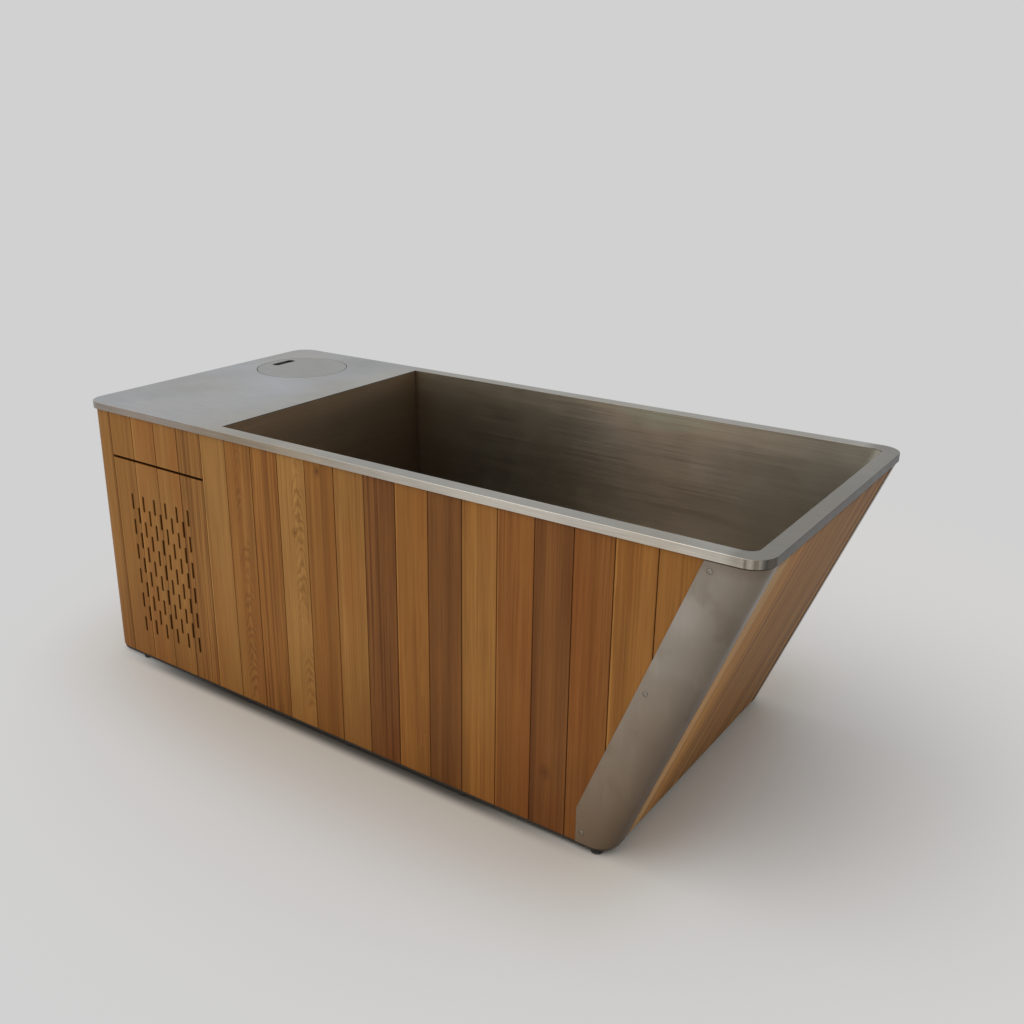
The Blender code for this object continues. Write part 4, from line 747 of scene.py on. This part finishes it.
# deck and rim: one folded sheet with the basin's opening and the lid's seat
rim = {"sheet": 0.002, "corner": 0.055, "fold": 0.0016, "lip": 0.0010, "deck": 0.54, "wall": 0.0406,
       "basinCorner": 0.025, "lidGap": 0.0015, "lidDepth": 0.012, "ledge": 0.012, "slopeWall": 0.0424}
lidLow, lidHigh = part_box("round_lid")
lidMiddle = (lidLow + lidHigh) / 2
lidRadius = (lidHigh.x - lidLow.x) / 2
top = rimHigh.z

deck = addBlock(rimLow, rimHigh)
bevelEdges(deck, lambda edge: edgeRuns(edge, 2), rim["corner"], 16)
inset = Vector((rim["sheet"], rim["sheet"], 0))
hollow = addBlock(rimLow + inset - up * rim["sheet"], rimHigh - inset - up * rim["sheet"])
bevelEdges(hollow, lambda edge: edgeRuns(edge, 2), rim["corner"] - rim["sheet"], 16)
cutAway(deck, hollow)
lidTop = Vector((lidMiddle.x, lidMiddle.y, top))
wellRadius = lidRadius + rim["lidGap"]
welded(deck, addRod(lidTop - up * (rim["lidDepth"] + rim["sheet"]), lidTop - up * rim["sheet"] / 2,
                    wellRadius + rim["sheet"], 128))
cutAway(deck, addRod(lidTop - up * rim["lidDepth"], lidTop + up * 0.01, wellRadius, 128),
        addRod(lidTop - up * 0.04, lidTop, lidRadius - rim["ledge"], 128))
openRight = slopedHigh.x + cladding["slope"] * (top - slopedHigh.z) - rim["slopeWall"]
opening = addBlock((rimLow.x + rim["deck"], rimLow.y + rim["wall"], top - 0.05),
                   (openRight, rimHigh.y - rim["wall"], top + 0.05))
bevelEdges(opening, lambda edge: edgeRuns(edge, 2) and middleOf(edge).x > openRight - hair,
           rim["basinCorner"], 8)
cutAway(deck, opening)


def onOuterTop(edge):
    point = middleOf(edge)
    if abs(point.z - top) > 0.0001 or edgeRuns(edge, 2) or len(edge.link_faces) != 2:
        return False
    return abs(edge.calc_face_angle(0)) > 0.6 and (
        point.x < rimLow.x + 0.02 or point.x > rimHigh.x - 0.02
        or point.y < rimLow.y + 0.02 or point.y > rimHigh.y - 0.02)


bevelEdges(deck, onOuterTop, rim["fold"], 4)
bevelEdges(deck, lambda edge: abs(middleOf(edge).z - top) < 0.0001 and len(edge.link_faces) == 2
           and abs(edge.calc_face_angle(0)) > 1.2, rim["lip"], 2)
settle(deck, "deckAndRim", deckSteel, ["deck_rim"])

# round lid with its finger slot
lid = {"sheet": 0.002, "lip": 0.0008, "slotLength": 0.088, "slotWidth": 0.028, "slotOffset": 0.102,
       "slotShift": 0.018, "slotCorner": 0.010}
lidFoot = Vector((lidMiddle.x, lidMiddle.y, lidLow.z))
lidFace = Vector((lidMiddle.x, lidMiddle.y, lidHigh.z))
cover = addRod(lidFoot, lidFace, lidRadius, 160)
cutAway(cover, addRod(lidFoot - up * 0.01, lidFace - up * lid["sheet"], lidRadius - lid["sheet"], 160))
slotMiddle = lidMiddle + Vector((-lid["slotOffset"], lid["slotShift"], 0))
slotReach = Vector((lid["slotWidth"] / 2, lid["slotLength"] / 2, 0.02))
finger = addBlock(slotMiddle - slotReach, slotMiddle + slotReach)
bevelEdges(finger, lambda edge: edgeRuns(edge, 2), lid["slotCorner"], 6)
cutAway(cover, finger)
eased(cover, lid["lip"], 2, 50)
settle(cover, "roundLid", lidSteel, ["round_lid"], "lid")
print("deck, rim and lid made")

# basin: an open box with one wall sloped, turned sheet corners and welded upright corners
basin = {"sheet": 0.002, "slopeCorner": 0.025, "floorCorner": 0.016, "weld": 0.0016}
basinLow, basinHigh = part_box("basin")
inner = Vector((basin["sheet"], basin["sheet"], basin["sheet"]))
tub = addBlock(basinLow + inner, (basinHigh.x, basinHigh.y - basin["sheet"], basinHigh.z))
topRight = openRight + cladding["slope"] * (basinHigh.z - top)
floorRight = topRight - cladding["slope"] * (basinHigh.z - basinLow.z - basin["sheet"])
for level, place in ((basinHigh.z, topRight), (basinLow.z + basin["sheet"], floorRight)):
    openEdit(tub, "VERT", lambda vert: vert.co.x > basinHigh.x - hair and abs(vert.co.z - level) < hair)
    bpy.ops.transform.translate(value=(place - basinHigh.x, 0, 0))
    closeEdit()
openEdit(tub, "FACE", lambda face: face.normal.z > 0.9)
bpy.ops.mesh.delete(type="FACE")
closeEdit()
bevelEdges(tub, lambda edge: middleOf(edge).x > floorRight
           and abs(edge.verts[0].co.z - edge.verts[1].co.z) > 0.1, basin["slopeCorner"], 8)
bevelEdges(tub, lambda edge: max(v.co.z for v in edge.verts) < basinLow.z + basin["sheet"] + hair
           and len(edge.link_faces) == 2 and edge.calc_face_angle(0) > 0.5, basin["floorCorner"], 5)
openEdit(tub, "FACE", lambda face: True)
bpy.ops.mesh.flip_normals()
closeEdit()
applied(tub, "SOLIDIFY", thickness=basin["sheet"], offset=-1.0)
settle(tub, "basinShell", basinSteel, ["basin"])

welds = []
for side in (-1, 1):
    corner = Vector((basinLow.x + basin["sheet"], side * (basinHigh.y - basin["sheet"]), 0))
    bead = addRod(corner + up * (basinLow.z + 0.02), corner + up * (basinHigh.z - 0.001), basin["weld"], 12)
    welds.append(eased(bead, basin["weld"] / 3))
settle(joined(welds), "basinWelds", weldSteel)
print("basin made")

# corner guards: sheet bent round the sloped end's corners, with their screws
guard = {"sheet": 0.0015, "face": 0.123, "bend": 0.050, "toe": 0.110,
         "screws": ((0.9158, 0.7565), (0.7979, 0.4496), (0.6614, 0.048)),
         "screwRadius": 0.0050, "screwHeight": 0.0012, "sinkRadius": 0.0066, "sinkDepth": 0.0008,
         "stockLeft": 0.2, "stockDepth": 0.30}    # the block that each guard is bent from
guardLow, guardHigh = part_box("corner_guard_front")
lean = cladding["slope"]
# a lighter, bluer patch, and painted shade round the screws
guardSpots = [((0.868, -0.45, 0.645), 0.080, (1.12, 1.15, 1.20))]
guardSpots += [((along, side * 0.45, height), 0.010, (0.45, 0.41, 0.37))
               for along, height in guard["screws"] for side in (-1, 1)]
guardSteel = guardFinish("satin guard steel", (0.325, 0.274, 0.222),
                         guardHigh.x - guard["face"] - lean * guardHigh.z, lean, guard["face"], guardSpots)
guardDrop = lean * (guardHigh.z - guardLow.z)
for side, label in ((-1, "Front"), (1, "Back")):
    outer = abs(guardLow.y)
    outwards = Vector((0, side, 0))
    ends = sorted((side * outer, side * (outer - guard["stockDepth"])))
    sheet = addBlock((guard["stockLeft"], ends[0], guardLow.z), (guardHigh.x, ends[1], guardHigh.z))
    openEdit(sheet, "VERT", lambda vert: vert.co.x > 0.5 and vert.co.z < 0.3)
    bpy.ops.transform.translate(value=(-guardDrop, 0, 0))
    closeEdit()
    bevelEdges(sheet, lambda edge: all(v.co.x > 0.5 and abs(abs(v.co.y) - outer) < hair for v in edge.verts)
               and abs(edge.verts[0].co.z - edge.verts[1].co.z) > 0.1, guard["bend"], 14)
    openEdit(sheet, "FACE", lambda face: abs(face.normal.z) > 0.99 or face.normal.x < -0.9
             or face.normal.y * side < -0.9)
    bpy.ops.mesh.delete(type="FACE")
    closeEdit()
    cutPlane(sheet, (0, side * abs(guardHigh.y), 0), (0, -side, 0), False)
    left = guardHigh.x - guard["face"]
    cutPlane(sheet, (left, 0, guardHigh.z), -slopeOut, False)
    cutPlane(sheet, (left - lean * (guardHigh.z - guard["toe"]), 0, 0), (-1, 0, 0), False)
    applied(sheet, "SOLIDIFY", thickness=guard["sheet"], offset=-1.0)
    for along, height in guard["screws"]:
        sink = Vector((along, side * outer, height))
        cutAway(sheet, addRod(sink - outwards * guard["sinkDepth"], sink + outwards * 0.01,
                              guard["sinkRadius"], 32))
    settle(sheet, "cornerGuard" + label, guardSteel, ["corner_guard_" + label.lower()])
    heads = []
    for along, height in guard["screws"]:
        foot = Vector((along, side * (outer - guard["sinkDepth"]), height))
        head = addRod(foot, foot + outwards * guard["screwHeight"], guard["screwRadius"], 24)
        bevelEdges(head, lambda edge: all(abs(v.co.y) > outer + 0.0002 for v in edge.verts), 0.0008, 3)
        for wide, tall in ((0.0007, 0.0026), (0.0026, 0.0007)):    # a cross recess
            reach = Vector((wide, 0.0007, tall))
            place = foot + outwards * guard["screwHeight"]
            cutAway(head, addBlock(place - reach, place + reach))
        heads.append(head)
    settle(joined(heads), "guardScrews" + label, screwSteel)
print("corner guards made")

# dark strip under the boards, put there as painted shade: the black line of shadow in the gap above the floor
strip = {"inset": 0.003, "width": 0.004, "height": 0.0092, "under": 0.0003}
stripTop = boardFoot - strip["under"]
stripRight = slopedHigh.x + lean * (stripTop - strip["height"] - slopedHigh.z)
rings = []
for step in (strip["inset"], strip["inset"] + strip["width"]):
    spill = 0.0 if not rings else 0.01
    ring = addBlock((endLow.x + step, frontFace + step, stripTop - strip["height"] - spill),
                    (stripRight - step, -frontFace - step, stripTop + spill))
    for way, radius in ((-1, cladding["postRadius"]), (1, cladding["bend"])):
        bevelEdges(ring, lambda edge: edgeRuns(edge, 2) and middleOf(edge).x * way > 0, radius - step, 12)
    rings.append(ring)
cutAway(rings[0], rings[1])
gapShadeFinish = mouldedFinish("dark edge strip", (0.036, 0.026, 0.017), 0.8)
settle(eased(rings[0], 0.0008), "gapShadeStrip", gapShadeFinish)

# feet: rubber pad, nut and stud, modelled once
foot = {"padRadius": 0.015, "padHeight": 0.008, "nutRadius": 0.0105, "nutHeight": 0.006, "studRadius": 0.006}
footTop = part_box("foot_front_1")[1].z
pad = addRod((0, 0, 0), (0, 0, foot["padHeight"]), foot["padRadius"])
bevelEdges(pad, lambda edge: not edgeRuns(edge, 2), 0.0018, 3)
nutTop = foot["padHeight"] + foot["nutHeight"]
nut = addRod((0, 0, foot["padHeight"] - 0.0005), (0, 0, nutTop), foot["nutRadius"], 6)
eased(nut, 0.0006)
stud = addRod((0, 0, foot["padHeight"]), (0, 0, footTop), foot["studRadius"], 24)
eased(stud, 0.0004)
pattern = joined([pad, nut, stud])
for side in ("front", "back"):
    for number in range(1, 6):
        node = f"foot_{side}_{number}"
        low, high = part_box(node)
        middle = (low + high) / 2
        name = f"foot{side.capitalize()}{number}"
        settle(copied(pattern, (middle.x, middle.y, 0)), name, slotFinish["rubber"], [node])
bpy.data.objects.remove(pattern)
print("feet made")

# stage, lamps and camera
studio = {"floor": (0.662, 0.656, 0.648), "floorRough": 0.9, "backdrop": (0.637, 0.637, 0.637),
          "centre": (0.15, 0.50, 0), "clear": (1.1, 2.1),    # where the floor melts into the backdrop
          "contact": 0.043, "contactTint": (0.14, 0.13, 0.12),     # the floor's shadow close to the boards
          "bounce": 0.42, "bounceTint": (0.85, 0.80, 0.73),        # and painted warm light bounced off the wood in front of them
          "sky": 0.75, "key": 0.92, "softness": 55, "keyPlace": (-1.6, -1.8, 4.6), "keyAim": (0, 0, 0.4),
          "keyColour": (1.0, 0.985, 0.96)}
bpy.ops.object.select_all(action="DESELECT")
bpy.ops.mesh.primitive_plane_add(size=60)
floor = bpy.context.object
floor.name = "studioFloor"
floorFinish = Finish("studio floor")
floorPlace = floorFinish.place()
floorX, floorY, _ = floorFinish.split(floorPlace)
footMiddle = (endLow.x + stripRight) / 2
corner = cladding["postRadius"]
past = [abs(floorX - footMiddle) - (stripRight - footMiddle - corner), abs(floorY) + frontFace + corner]
past = [length.maths("MAXIMUM", length, 0) for length in past]
past = floorFinish.root(past[0] * past[0] + past[1] * past[1]) - corner    # distance from the footprint
floorColour = (*studio["floor"], 1)
warm = floorFinish.ramp(past, studio["bounce"], 0) * floorFinish.ramp(floorX, stripRight + 0.25, stripRight)
floorColour = floorFinish.stain(floorColour, warm, studio["bounceTint"])
close = floorFinish.ramp(past, studio["contact"], 0)
close = close * floorFinish.ramp(floorX, stripRight + 0.05, stripRight - 0.45)
close = close * floorFinish.ramp(floorX, endLow.x + 0.02, endLow.x + 0.30)
floorColour = floorFinish.stain(floorColour, close, studio["contactTint"])
floorFinish.shade(Base_Color=floorColour, Roughness=studio["floorRough"])
clear = floorFinish.ramp(floorFinish.distance(floorPlace, studio["centre"]), *studio["clear"])
glow = floorFinish.node("Emission", sockets={"Color": (*studio["backdrop"], 1), "Strength": 1.0})
surface = Wire(floorFinish, floorFinish.shader.outputs[0])
mixed = floorFinish.node("MixShader", sockets={0: clear, 1: surface, 2: glow})
floorFinish.join(mixed, floorFinish.tree.nodes["Material Output"].inputs["Surface"])
floor.data.materials.append(floorFinish.material)

scene = bpy.context.scene
scene.view_settings.view_transform = "Standard"
world = bpy.data.worlds.new("studio")
scene.world = world
world.use_nodes = True
sky = Finish.__new__(Finish)    # the same tools on the world's nodes
sky.tree = world.node_tree
kinds = ("Is Camera Ray", "Is Glossy Ray", "Is Transmission Ray")
rays = [sky.node("LightPath", output=kind) for kind in kinds]
seen = rays[0].maths("MAXIMUM", rays[0].maths("MAXIMUM", rays[0], rays[1]), rays[2])
skyColour = sky.mix(seen, (studio["sky"], studio["sky"], studio["sky"], 1), (*studio["backdrop"], 1))
sky.join(skyColour, world.node_tree.nodes["Background"].inputs["Color"])

bpy.ops.object.light_add(type="SUN", location=studio["keyPlace"])
key = bpy.context.object
key.name = "keyLamp"
key.data.energy = studio["key"]
key.data.angle = math.radians(studio["softness"])
key.data.color = studio["keyColour"]
key.rotation_euler = (Vector(studio["keyAim"]) - key.location).to_track_quat("-Z", "Y").to_euler()

view = {"lens": 37.64, "place": (1.6497, -2.2356, 1.5761), "forward": (-0.5558, 0.7612, -0.3342),
        "shift": (0.0433, -0.0162)}
bpy.ops.object.camera_add(location=view["place"])
camera = bpy.context.object
camera.rotation_euler = Vector(view["forward"]).to_track_quat("-Z", "Y").to_euler()
camera.data.sensor_width = 36
camera.data.lens = view["lens"]
camera.data.shift_x, camera.data.shift_y = view["shift"]
scene.camera = camera
print("stage set")
